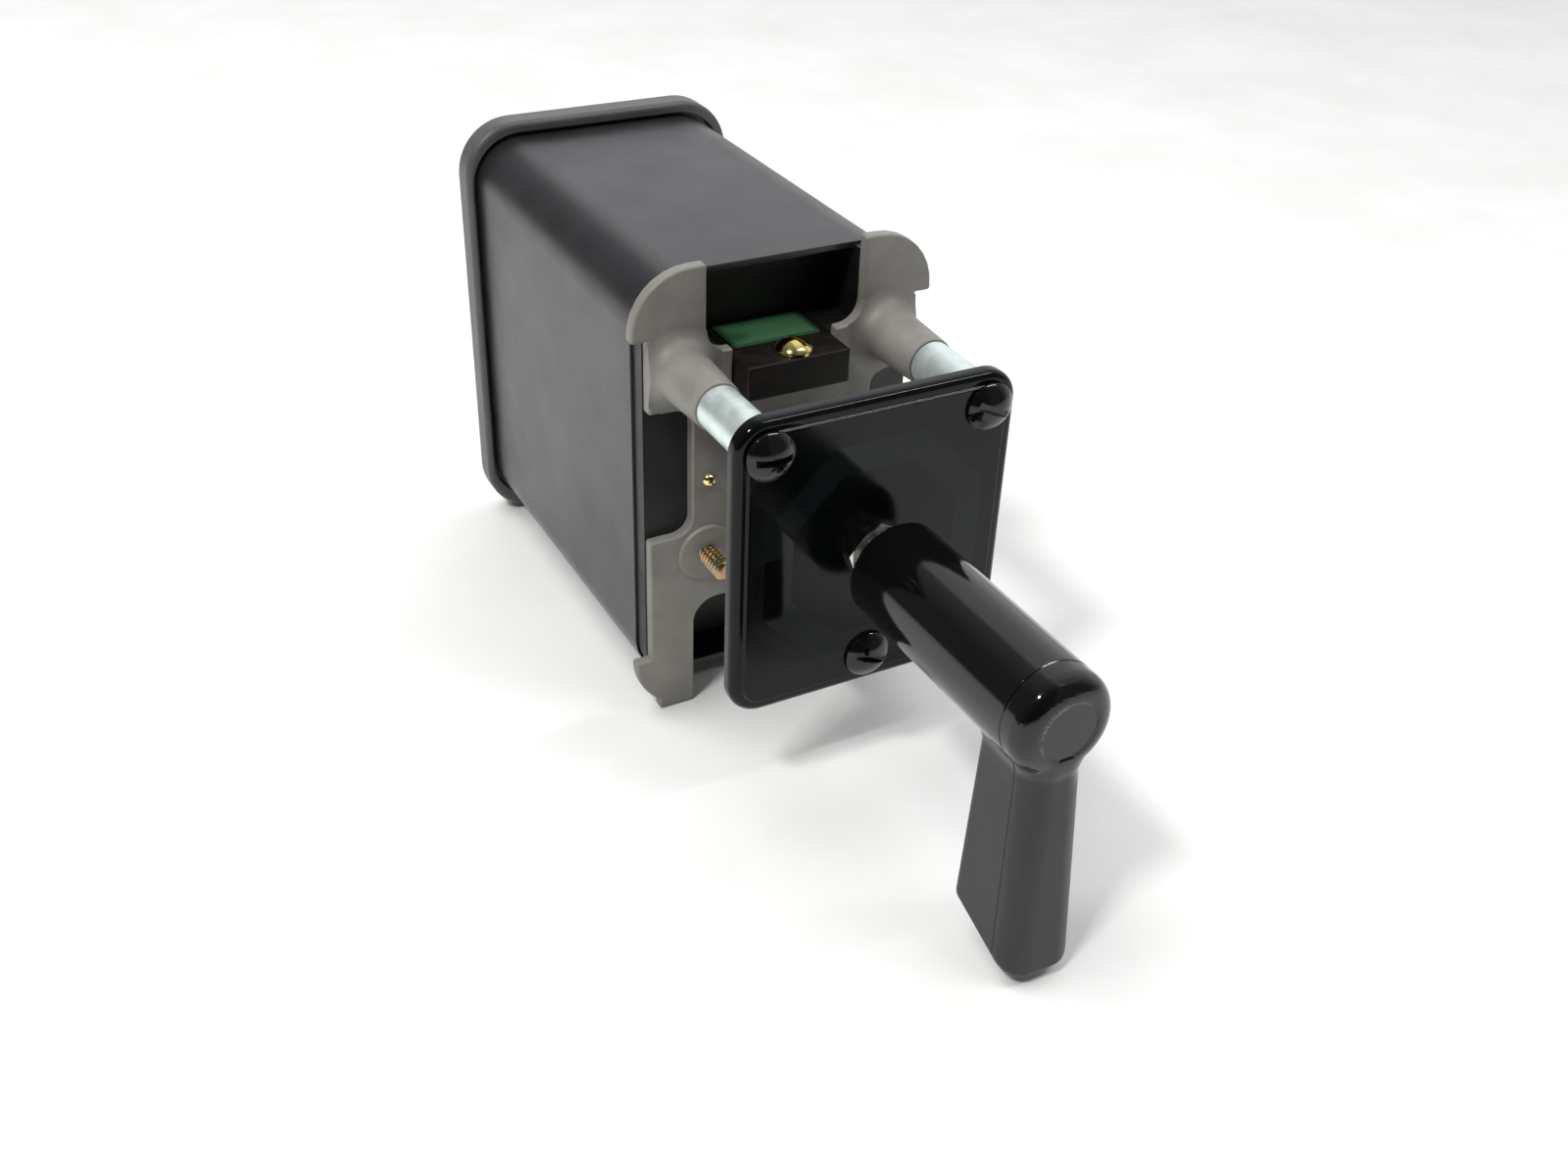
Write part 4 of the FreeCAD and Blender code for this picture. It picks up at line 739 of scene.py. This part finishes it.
def add_to(mesh, part, turn=None, move=(0, 0, 0)):
    """Copies part into mesh, turned and then moved."""
    if turn is not None:
        bmesh.ops.rotate(part, verts=part.verts, matrix=turn)
    bmesh.ops.translate(part, verts=part.verts, vec=move)
    data = bpy.data.meshes.new("copied")
    part.to_mesh(data)
    part.free()
    mesh.from_mesh(data)
    bpy.data.meshes.remove(data)


mesh = bmesh.new()
for (x, z), slot_turn in zip(SCREWS, (0.0, -24.0, -20.0)):
    head = screw_head(diameter=9.4, rise=2.8, shank=4.7, length=20.0, slot_turn=slot_turn)
    add_to(mesh, head, move=(x, front, z))
add_piece("panel_screws", mesh, "black_screw", "housing", "mounting_screws", sharp=40.0)

# %% [markdown]
# ## Eight-sided collar
#
# The collar is cut from eight-sided nickel-plated bar. When such bar is chamfered in a lathe, the chamfer
# is a cone, and where the cone meets the flats it leaves a curved edge on every side. Taking what a prism
# and a cone have in common gives exactly that edge.

# %% collar
collar_front = node_box("plate_collar")[0].y
BAR_RADIUS, CONE_RADIUS, COLLAR_BORE, COLLAR_TURN = 6.0, 5.4, 4.84, math.radians(-4.0)
mesh = bmesh.new()
rings = skin(mesh, [circle((0, 0), BAR_RADIUS, y, 8, COLLAR_TURN) for y in (collar_front, front + 0.05)])
close_ends(mesh, rings)
cone = turned((0, 0), [(0, collar_front), (CONE_RADIUS, collar_front), (6.1, collar_front + 0.45),
                       (6.1, front + 0.1), (0, front + 0.1)], steps=96)
part = combine(to_object(mesh), [cone], "INTERSECT")
bore = turned((0, 0), [(0, -8.0), (COLLAR_BORE, -8.0), (COLLAR_BORE, 2.0), (0, 2.0)], steps=96)
mesh = combine(to_object(part), [bore], "DIFFERENCE", bevel=0.1)
add_piece("eight_sided_collar", mesh, "nickel_plated", "housing", "plate_collar", sharp=25.0)

# %% [markdown]
# ## Die-cast support
#
# The support is one casting: a thin plate with ears and notches, three tapered posts that flare into the
# plate, a hub for the shaft and two low bosses for the tie rods. A casting has no sharp edge that the
# mould didn't need, so the plate is a skin of rings with rounded edges. The posts are lathed; their
# flares are cut by the outline of the plate, as on the real casting, and everything is joined with the
# exact Boolean.

# %% outline and plate of the support
def arc_points(middle, radius, start, end, count):
    """Corners on an arc, from angle start to end in degrees, where one rounded corner isn't enough."""
    turns = [math.radians(start + (end - start) * i / (count - 1)) for i in range(count)]
    return [(middle[0] + radius * math.cos(t), middle[1] + radius * math.sin(t), 0) for t in turns]


ear, ear_arc, toe = SUPPORT_HIGH.x, 12.2, SUPPORT_HIGH.x - 5.1
ear_middle = (ear - ear_arc, SUPPORT_LOW.z + ear_arc)
toe_turn = -math.degrees(math.acos((toe - ear_middle[0]) / ear_arc))
support_outline = mirrored([
    (11.1, 18.0, 0.3), (11.1, 26.7, 0.5), (16.7, 26.7, 4.6), (16.7, SUPPORT_HIGH.z, 0.6),
    (ear, SUPPORT_HIGH.z, ear_arc), (ear, 31.1, 0.6), (28.6, 31.1, 0), (28.6, 16.2, 0.6), (19.6, 16.2, 3.8),
    (19.6, -11.8, 3.8), (28.6, -11.8, 0.6), (28.6, -39.9, 0), (ear, -39.9, 0.6),
    *arc_points(ear_middle, ear_arc, -1.0, toe_turn, 9), (toe, SUPPORT_LOW.z, 0.4),
    (19.1, SUPPORT_LOW.z, 0.4), (19.1, -28.0, 5.2)])
face, rear = 32.2, SUPPORT_HIGH.y
post_tip, flare = SLEEVE_END, 3.6


def support_skin(y0, y1, soft):
    mesh = bmesh.new()
    profile = [(inset, y0 + down) for inset, down in rounding(soft, 4)] if soft else [(0.0, y0)]
    profile += [(0.0, y1 - 0.15), (0.15, y1)] if soft else [(0.0, y1)]
    rings = skin(mesh, [outline(support_outline, y, inset, 8) for inset, y in profile])
    close_ends(mesh, rings)
    return to_object(mesh)


# %% posts, bosses and hub, joined to the plate
POST_ROOT, HUB_BORE, ROD_HOLE, SMALL_HOLE = 5.42, 6.35, 2.1, 1.0
inside_plate = face + 1.0
parts = []
for place in SCREWS:
    parts.append(turned(place, [
        (0, post_tip), (4.45, post_tip), (4.68, post_tip + 0.1), (4.8, post_tip + 0.35),
        (POST_ROOT, face - flare + 0.5), (POST_ROOT, inside_plate), (0, inside_plate)]))
    turns = [math.radians(90 * i / 12) for i in range(13)]
    hollow = [(POST_ROOT - 0.04 + flare * (1 - math.cos(t)), face - flare * (1 - math.sin(t))) for t in turns]
    root = turned(place, [(0, hollow[0][1]), *hollow, (hollow[-1][0], inside_plate), (0, inside_plate)])
    parts.append(to_object(combine(root, [support_skin(20.0, face + 1.5, 0)], "INTERSECT")))
for place in TIE_RODS:
    parts.append(turned(place, [
        (0, face - 0.7), (5.5, face - 0.7), (5.85, face - 0.55), (6.0, face - 0.2), (6.3, face + 0.1),
        (6.3, inside_plate), (0, inside_plate)]))
parts.append(turned((0, 0), [
    (0, face - 3.0), (8.4, face - 3.0), (8.8, face - 2.85), (9.0, face - 2.5), (9.1, face - 0.6),
    (9.5, face + 0.1), (9.5, inside_plate), (0, inside_plate)]))
casting = combine(support_skin(face, rear, 0.55), parts, "UNION")
drills = [((0, 0), HUB_BORE), *[(rod, ROD_HOLE) for rod in TIE_RODS]]
drills += [((side * 16.0, -0.2), SMALL_HOLE) for side in (-1, 1)]
cutters = [turned(place, [(0, 10.0), (radius, 10.0), (radius, 40.0), (0, 40.0)]) for place, radius in drills]
mesh = combine(to_object(casting), cutters, "DIFFERENCE")
add_piece("cast_support", mesh, "die_cast_zinc", "housing", "front_support", sharp=40.0)

# %% [markdown]
# ## Threaded tie rods
#
# The lower rods stand out in front of the support, and their thread catches the light in bright slanted
# lines. A thread is one groove that climbs by its pitch in every turn, so the radius depends on the
# height minus the turn: a cylinder of small faces whose points are pushed in by that rule is a true
# helix, not a stack of rings. A rod this thick has 24 or 32 turns to the inch; the coarser pitch, 1.06
# mm, is the one that still shows. Behind the support nobody sees the rods, and they are plain there.

# %% tie rods
ROD_RADIUS, CORE_RADIUS, THREAD_PITCH, END_CHAMFER = 2.08, 2.05, 1.06, 0.45


def threaded_rod(mesh, place, radius, y0, y1, pitch, steps=48, rows=10):
    """A rod with one groove that climbs by the pitch in each turn; rows is the rows of faces in a pitch."""
    depth = 0.6 * pitch
    count = int(rows * (y1 - y0) / pitch)
    profile = []
    for row in range(count + 1):
        y = y0 + (y1 - y0) * row / count
        ring = []
        for i in range(steps):
            turn = i / steps
            phase = ((y - y0) / pitch - turn) % 1.0
            groove = min(1.0, abs(2 * phase - 1) * 1.5)
            point_in = END_CHAMFER * max(0.0, 1 - (y - y0) / END_CHAMFER)
            size = radius - depth * (1 - groove) - point_in
            angle = 2 * math.pi * turn
            ring.append(Vector((place[0] + size * math.cos(angle), y, place[1] + size * math.sin(angle))))
        profile.append(ring)
    rings = skin(mesh, profile)
    close_ends(mesh, rings)


RODS_LOW, RODS_HIGH = node_box("tie_rods")
mesh = bmesh.new()
for place in TIE_RODS:
    threaded_rod(mesh, place, ROD_RADIUS, RODS_LOW.y, face + 1.2, THREAD_PITCH)
for place, start in [(rod, face + 1.0) for rod in TIE_RODS] + [(screw, rear - 7.9) for screw in SCREWS[:2]]:
    plain = [(0, start), (CORE_RADIUS, start), (CORE_RADIUS, RODS_HIGH.y), (0, RODS_HIGH.y)]
    lathe(mesh, place, plain, steps=24)
add_piece("threaded_rods", mesh, "yellow_zinc", "housing", "tie_rods", sharp=22.0)

# %% [markdown]
# ## Terminal block, its label and its brass screw
#
# The block is a moulding with small rounded edges, so it is the same skin of rings as the plate, laid
# along Y. Its screw looks up. The paper label has rounded corners and lies a little proud, so that its
# edge casts a line: it is the same outline again, with Y and Z changed over.

# %% terminal block, label, screw
BLOCK_LOW, BLOCK_HIGH = node_box("terminal_block")
BLOCK_EDGE, LABEL_CORNER = 0.5, 0.7
block_outline = box_outline(BLOCK_LOW, BLOCK_HIGH, BLOCK_EDGE)
mesh = bmesh.new()
profile = [(inset, BLOCK_LOW.y + down) for inset, down in rounding(BLOCK_EDGE, 4)] + [(0.0, BLOCK_HIGH.y)]
rings = skin(mesh, [outline(block_outline, y, inset, 4) for inset, y in profile])
close_ends(mesh, rings)
add_piece("terminal_moulding", mesh, "brown_phenolic", "housing", "terminal_block")

corners = [(LABEL_HIGH.x, LABEL_HIGH.y), (LABEL_HIGH.x, LABEL_LOW.y), (LABEL_LOW.x, LABEL_LOW.y),
           (LABEL_LOW.x, LABEL_HIGH.y)]
label_outline = [(x, y, LABEL_CORNER) for x, y in corners]
mesh = bmesh.new()
levels = [(0.0, LABEL_LOW.z), (0.0, LABEL_HIGH.z - 0.05), (0.05, LABEL_HIGH.z)]
sheets = []
for inset, level in levels:
    sheets.append([Vector((p.x, p.z, level)) for p in outline(label_outline, 0, inset, 4)])
rings = skin(mesh, sheets)
close_ends(mesh, rings)
add_piece("paper_label", mesh, "green_label", "housing", "terminal_label")

mesh = bmesh.new()
upright = Matrix.Rotation(math.radians(-90), 3, "X")
head = screw_head(diameter=7.4, rise=2.6, shank=3.7, length=4.5, slot_turn=-62.0)
add_to(mesh, head, turn=upright, move=(0.6, 30.2, BLOCK_HIGH.z))
add_piece("terminal_brass_screw", mesh, "brass", "housing", "terminal_block_screw", sharp=40.0)

# %% [markdown]
# ## Cover and rear cap
#
# The cover is a closed wall: its profile goes back along the outside and forward along the inside, and
# the rings close on themselves. The cap has a seat that takes the rear edge of the cover. The seat is
# wider than the cover, and that gap is the dark line all round between them.

# %% cover
cover_outline = box_outline(COVER_LOW, COVER_HIGH, 10.5)
wall, start, end = 1.3, COVER_LOW.y, COVER_HIGH.y
edge = [(0.0, 0.25), (0.07, 0.07), (0.25, 0.0)]
profile = [(0.0, end)] + [(inset, start + down) for inset, down in edge]
profile += [(wall - inset, start + down) for inset, down in reversed(edge)] + [(wall, end)]
mesh = bmesh.new()
skin(mesh, [outline(cover_outline, y, inset, 14) for inset, y in profile], closed=True)
add_piece("cover_moulding", mesh, "black_enamel", "housing", "cover")

# %% cap
cap_outline = box_outline(CAP_LOW, CAP_HIGH, 12.0)
near, far = CAP_LOW.y, CAP_HIGH.y
seat_depth, back_thickness, GAP, LIP = 2.0, 3.6, 0.85, 0.15
RECESS_RADIUS, RECESS_DEPTH = 3.6, 2.3
hollow_depth = far - near - back_thickness
mesh = bmesh.new()
seat = [(hollow_depth, wall), (seat_depth, wall), (seat_depth, -GAP), (LIP, -GAP), (0.0, -GAP - LIP)]
rings = [outline(cover_outline, near + depth, inset, 14) for depth, inset in seat]
rings += [outline(cap_outline, near + down, inset, 14) for inset, down in rounding(1.25, 6)]
rings += [outline(cap_outline, far - down, inset, 14) for inset, down in reversed(rounding(1.2, 6))]
made = skin(mesh, rings)
CAP_SCREWS = [(0.0, 31.0), (0.0, -38.0)]
holes = []
for place in CAP_SCREWS:
    steps_in = ((RECESS_RADIUS + 0.25, 0.0), (RECESS_RADIUS, 0.25), (RECESS_RADIUS, RECESS_DEPTH))
    recess = skin(mesh, [circle(place, radius, far - depth) for radius, depth in steps_in])
    fill(mesh, recess[-1])
    holes.append(recess[0])
fill(mesh, made[0])
fill(mesh, made[-1], *holes)
add_piece("cap_moulding", mesh, "black_moulding", "housing", "rear_cap")

mesh = bmesh.new()
about = Matrix.Rotation(math.radians(180), 3, "Z")
for (x, z), slot_turn in zip(CAP_SCREWS, (15.0, -35.0)):
    head = screw_head(diameter=6.6, rise=2.0, shank=2.7, length=7.0, slot_turn=slot_turn)
    add_to(mesh, head, turn=about, move=(x, far - RECESS_DEPTH, z))
add_piece("cap_round_screws", mesh, "black_screw", "housing", "cap_screws", sharp=40.0)

# %% [markdown]
# ## Handle
#
# A round tube runs into a flat, tapering grip, with a small fillet where they meet. Fillets between two
# free forms are hard to make with edges and faces, but easy with a distance field: a function that gives
# each point its distance to the surface. Two such distances are blended with a smooth minimum, and the
# blend is the fillet.
#
# The mesh comes in two steps. Blender's voxel remesh turns rough solids into one even skin of small
# squares; then every point is walked along the slope of the distance field until it lies exactly on the
# form. The slope is also the exact surface normal, so the polish is perfect. The parting line between the
# two halves is a shallow groove in the same field.

# %% the handle as a distance field
TUBE_RADIUS, TUBE_FRONT, TUBE_REAR = 9.525, -63.2, -11.0
PARTING, LEAN = -57.6, math.radians(3.4)
GROOVE_HALF_WIDTH, GROOVE_DEPTH = 0.3, 0.22
DISC_RADIUS, DISC_EDGE, DISC_DEPTH = 5.3, 0.35, 0.22
SOCKET_RADIUS, SOCKET_END = 4.85, -15.5
GRIP_LENGTH, FOOT_TOP, FOOT_REAR = 51.0, -44.5, -47.2
FOOT_SLOPE = math.atan2(6.5, 18.7)
GRIP_EDGE_REAR, FOOT_EDGE = 1.8, 1.6


def rounded(out, end, radius):
    """Distance to a form with rounded edges, from the distances past its side and past its end."""
    return np.minimum(np.maximum(out, end), 0) + np.hypot(np.maximum(out, 0), np.maximum(end, 0)) - radius


def grip_size(share):
    """Half width, rear and front of the grip, from the axis (share 0) down to its foot (share 1)."""
    return 5.4 + 1.8 * share, -47.8 + 0.6 * share, -62.2 - 3.7 * share


def tube_distance(p):
    radial = np.hypot(p[:, 0], p[:, 2])
    along = p[:, 1] - (TUBE_FRONT + TUBE_REAR) / 2
    corner = np.where(along < 0, 3.6, 0.5)
    out = radial - TUBE_RADIUS + corner
    end = np.abs(along) - (TUBE_REAR - TUBE_FRONT) / 2 + corner
    return rounded(out, end, corner)


def grip_distance(p):
    half, rear, front = grip_size(-p[:, 2] / GRIP_LENGTH)
    along = p[:, 1] - (rear + front) / 2
    corner = np.where(along < 0, 4.6, GRIP_EDGE_REAR)
    out = np.abs(p[:, 0]) - half + corner
    end = np.abs(along) - (rear - front) / 2 + corner
    side = rounded(out, end, corner)
    foot = -(p[:, 2] - FOOT_TOP) * math.cos(FOOT_SLOPE) + (p[:, 1] - FOOT_REAR) * math.sin(FOOT_SLOPE)
    return np.maximum(rounded(side + FOOT_EDGE, foot + FOOT_EDGE, FOOT_EDGE), p[:, 2])


def past_parting(p):
    """Distance behind the parting plane, which leans forward towards the foot of the grip."""
    return (p[:, 1] - PARTING) * math.cos(LEAN) - p[:, 2] * math.sin(LEAN)


def handle_distance(p):
    tube, grip = tube_distance(p), grip_distance(p)
    fillet = 0.02 + 2.2 * np.clip((-4.0 - p[:, 2]) / 4.5, 0, 1)  # fades out up the side of the tube
    share = np.maximum(fillet - np.abs(tube - grip), 0) / fillet
    form = np.minimum(tube, grip) - share ** 2 * fillet / 4
    lip = np.maximum(1 - np.abs(past_parting(p)) / GROOVE_HALF_WIDTH, 0)
    across = np.hypot(p[:, 0], p[:, 2])
    edge = np.clip((DISC_RADIUS + DISC_EDGE - across) / DISC_EDGE, 0, 1)
    disc = np.where(p[:, 1] < TUBE_FRONT + 1.5, edge, 0)
    socket = np.where(p[:, 1] > SOCKET_END, SOCKET_RADIUS - across, -9.0)
    return np.maximum(form + GROOVE_DEPTH * lip ** 2 + DISC_DEPTH * disc, socket)


def slope_of(field, p, step=0.01):
    slopes = []
    for axis in range(3):
        move = np.zeros(3)
        move[axis] = step
        slopes.append((field(p + move) - field(p - move)) / (2 * step))
    return np.stack(slopes, axis=1)


on_the_tube = np.array([[TUBE_RADIUS, -30.0, 0.0]])
print("field on the side of the tube, mm:", round(float(handle_distance(on_the_tube)[0]), 4))

# %% a rough handle, remeshed and walked onto the form
def rough_handle():
    mesh = bmesh.new()
    rough_end = SOCKET_END + 0.1
    lathe(mesh, (0, 0), [
        (SOCKET_RADIUS, rough_end), (SOCKET_RADIUS, TUBE_REAR), (9.0, TUBE_REAR), (TUBE_RADIUS, TUBE_REAR - 0.5),
        (TUBE_RADIUS, -59.6), (8.4, -62.2), (5.9, TUBE_FRONT), (0, TUBE_FRONT)])
    bottom = mesh.verts.new((0, rough_end, 0))
    ring = [v for v in mesh.verts if abs(v.co.y - rough_end) < 1e-4 and v is not bottom]
    ring.sort(key=lambda v: math.atan2(v.co.z, v.co.x))
    for i in range(len(ring)):
        mesh.faces.new((ring[i - 1], ring[i], bottom))
    rings = []
    for share in (0.02, 1.0):
        half, behind, ahead = grip_size(share)
        corners = [(half, behind, GRIP_EDGE_REAR), (half, ahead, 4.4), (-half, ahead, 4.4),
                   (-half, behind, GRIP_EDGE_REAR)]
        heights = {0.02: (-1.0, -1.0), 1.0: (-44.6, -50.9)}[share]
        ring = []
        for p in outline(corners, 0, 0.1, 8):
            part = (p.z - behind) / (ahead - behind)
            ring.append(Vector((p.x, p.z, heights[0] + (heights[1] - heights[0]) * part)))
        rings.append(ring)
    close_ends(mesh, skin(mesh, rings))
    return to_object(mesh)


VOXEL = 0.45
rough = rough_handle()
remesh = rough.modifiers.new("even skin", "REMESH")
remesh.mode = "VOXEL"
remesh.voxel_size = VOXEL
data = bpy.data.meshes.new_from_object(rough.evaluated_get(bpy.context.evaluated_depsgraph_get()))
bpy.data.objects.remove(rough)
handle_mesh = bmesh.new()
handle_mesh.from_mesh(data)
bpy.data.meshes.remove(data)
print("remeshed handle:", len(handle_mesh.verts), "vertices")

# %% cutting rows of points along the parting line
plane_normal = Vector((0, math.cos(LEAN), -math.sin(LEAN)))
plane_point = Vector((0, PARTING, 0))
OFFSETS = (-0.6, -0.3, -0.2, -0.12, -0.05, 0.05, 0.12, 0.2, 0.3, 0.6)
HELD_WITHIN = 0.7


def everything(mesh):
    return mesh.verts[:] + mesh.edges[:] + mesh.faces[:]


for offset in OFFSETS:
    bmesh.ops.bisect_plane(
        handle_mesh, geom=everything(handle_mesh), plane_co=plane_point + plane_normal * offset,
        plane_no=plane_normal, dist=1e-3)


def settle(mesh, rounds=8):
    """Walks every point onto the form; points near the parting line stay in their own plane."""
    mesh.verts.ensure_lookup_table()
    p = np.array([v.co for v in mesh.verts])
    normal = np.array(plane_normal)
    held = np.abs(past_parting(p)) < HELD_WITHIN
    for _ in range(rounds):
        slope = slope_of(handle_distance, p)
        slope[held] -= np.outer(slope[held] @ normal, normal)
        size = np.maximum((slope ** 2).sum(axis=1), 0.2)
        p = p - slope * (handle_distance(p) / size)[:, None]
    for vertex, place in zip(mesh.verts, p):
        vertex.co = place
    return float(np.abs(handle_distance(p)).max())


print("largest distance left, mm:", round(settle(handle_mesh), 4))


# %% the two halves, with exact normals
def handle_half(name, mesh, keep_rear, stands_for):
    half = mesh.copy()
    cut = bmesh.ops.bisect_plane(
        half, geom=everything(half), plane_co=plane_point, plane_no=plane_normal, dist=1e-4,
        clear_inner=keep_rear, clear_outer=not keep_rear)
    rim = [item for item in cut["geom_cut"] if isinstance(item, bmesh.types.BMEdge)]
    lid = set(bmesh.ops.edgeloop_fill(half, edges=rim)["faces"])
    for face in half.faces:
        face.smooth = True
        face.material_index = 0
        face.tag = face in lid
    half.faces.ensure_lookup_table()
    bmesh.ops.recalc_face_normals(half, faces=half.faces)
    lids = [i for i, face in enumerate(half.faces) if face.tag]
    data = bpy.data.meshes.new(name)
    half.to_mesh(data)
    half.free()
    points = np.array([v.co for v in data.vertices])
    slope = slope_of(handle_distance, points)
    slope /= np.maximum(np.linalg.norm(slope, axis=1), 1e-9)[:, None]
    normals = [None] * len(data.loops)
    for polygon in data.polygons:
        for loop in polygon.loop_indices:
            corner = data.loops[loop].vertex_index
            own = polygon.normal
            true = Vector(slope[corner])
            normals[loop] = own if polygon.index in lids or own.dot(true) < 0.5 else true
    data.transform(Matrix.Scale(MM, 4))
    data.polygons.foreach_set("use_smooth", [True] * len(data.polygons))
    data.normals_split_custom_set(normals)
    data.materials.append(finishes["gloss_black_handle"])
    piece = bpy.data.objects.new(name, data)
    bpy.context.scene.collection.objects.link(piece)
    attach(piece, "rotor")
    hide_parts(stands_for)
    print(name, "-", len(data.vertices), "vertices,", len(lids), "closing face")


handle_half("handle_rear_half", handle_mesh, True, "handle_body")
handle_half("handle_front_half", handle_mesh, False, "handle_front")
handle_mesh.free()

# %% [markdown]
# ## Finishes for the carried engineering nodes
#
# The rest of the switch keeps its engineering shape: housing, stages, cams, contacts, springs, shaft.
# Each node takes the finish of its material slot in the record, so that nothing is left in a plain
# colour.

# %% finishes on carried nodes
slot_of = {part["node"]: part["material_slot"] for part in frame["record"]["subparts"]}
dressed = 0
for name, node in frame["nodes"].items():
    if node.hide_render:
        continue
    for material_slot in node.material_slots:
        material_slot.material = finishes[slot_of[name]]
    dressed += 1
print("carried nodes dressed:", dressed)

# %% [markdown]
# ## Floor
#
# The switch stands on a pale matt sheet.

# %% floor
FLOOR_HALF = 6.0
tree, shader, place = start_finish("floor", "pale_paper_sheet", "#eeeeec", 0.7)
cloud(tree, shader, place, 60.0, "#ebebe8", "#f3f3f1", 0.62, 0.78)
grain(tree, shader, place, 1.2, 0.02)
mesh = bmesh.new()
bmesh.ops.create_grid(mesh, x_segments=8, y_segments=8, size=FLOOR_HALF)
data = bpy.data.meshes.new("paper_floor")
mesh.to_mesh(data)
mesh.free()
data.materials.append(finishes["floor"])
floor = bpy.data.objects.new("paper_floor", data)
floor.location.z = FLOOR_LEVEL * MM
bpy.context.scene.collection.objects.link(floor)
floor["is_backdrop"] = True

# %% [markdown]
# ## Light
#
# Black gloss is lit by what it reflects. The room has a white wall on the right and falls off to a dark
# corner on the left, which gives the tube its black band beside a pale one and the cover its dark rounded
# edge. One large soft lamp makes the floor bright; it is hidden from reflections, so that it leaves no
# white square on the gloss. Two small ceiling lamps make the crisp lights on the plate's rim, the tube's
# cap and the screw heads.

# %% room and lamps
def add_lamp(name, place, size, watts, shown_in_gloss=True, aim=(0.0, 0.03, 0.0)):
    data = bpy.data.lights.new(name, "AREA")
    data.shape = "RECTANGLE"
    data.size, data.size_y = size
    data.energy = watts
    lamp = bpy.data.objects.new(name, data)
    lamp.location = place
    lamp.rotation_euler = (Vector(aim) - Vector(place)).to_track_quat("-Z", "Y").to_euler()
    lamp.visible_glossy = shown_in_gloss
    bpy.context.scene.collection.objects.link(lamp)
    return lamp


room = bpy.data.worlds.new("pale_room")
room.use_nodes = True
tree = room.node_tree
tree.nodes.clear()
toward = add_node(tree, "ShaderNodeTexCoord").outputs["Generated"]
axes = add_node(tree, "ShaderNodeSeparateXYZ", {"Vector": toward})
dusk = add_node(tree, "ShaderNodeMapRange", {
    "Value": axes.outputs["X"], "From Min": -0.55, "From Max": 0.0, "To Min": 0.13, "To Max": 0.4})
wall = add_node(tree, "ShaderNodeMapRange", {
    "Value": axes.outputs["X"], "From Min": -0.02, "From Max": 0.12,
    "To Min": 0.0, "To Max": 0.62}, interpolation_type="SMOOTHSTEP")
both = add_node(
    tree, "ShaderNodeMath", {0: dusk.outputs["Result"], 1: wall.outputs["Result"]}, operation="ADD")
behind = add_node(tree, "ShaderNodeMapRange", {
    "Value": axes.outputs["Y"], "From Min": -0.5, "From Max": 0.1, "To Min": 0.15, "To Max": 1.0})
level = add_node(
    tree, "ShaderNodeMath", {0: both.outputs[0], 1: behind.outputs["Result"]}, operation="MULTIPLY")
glow = add_node(tree, "ShaderNodeBackground", {"Color": linear("#fbfcff"), "Strength": level.outputs[0]})
add_node(tree, "ShaderNodeOutputWorld", {"Surface": glow.outputs["Background"]})
bpy.context.scene.world = room
add_lamp("soft_overhead", (-0.5, 0.35, 1.1), (0.9, 0.9), 11.0, shown_in_gloss=False)
add_lamp("ceiling_lamp_right", (0.65, -0.5, 1.2), (0.9, 0.05), 6.0, aim=(0.65, -0.5, 0.0))
add_lamp("ceiling_lamp_left", (-0.62, -0.27, 0.95), (0.16, 0.12), 6.0)
bpy.context.scene.view_settings.view_transform = "Standard"

# %% sizes and finish
low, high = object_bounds()
boxes = {"cad": [list(cad_low), list(cad_high)], "visual": [list(low), list(high)]}
print("visual box minus CAD box, mm:", [round(v / MM, 3) for v in (high - low) - (cad_high - cad_low)])
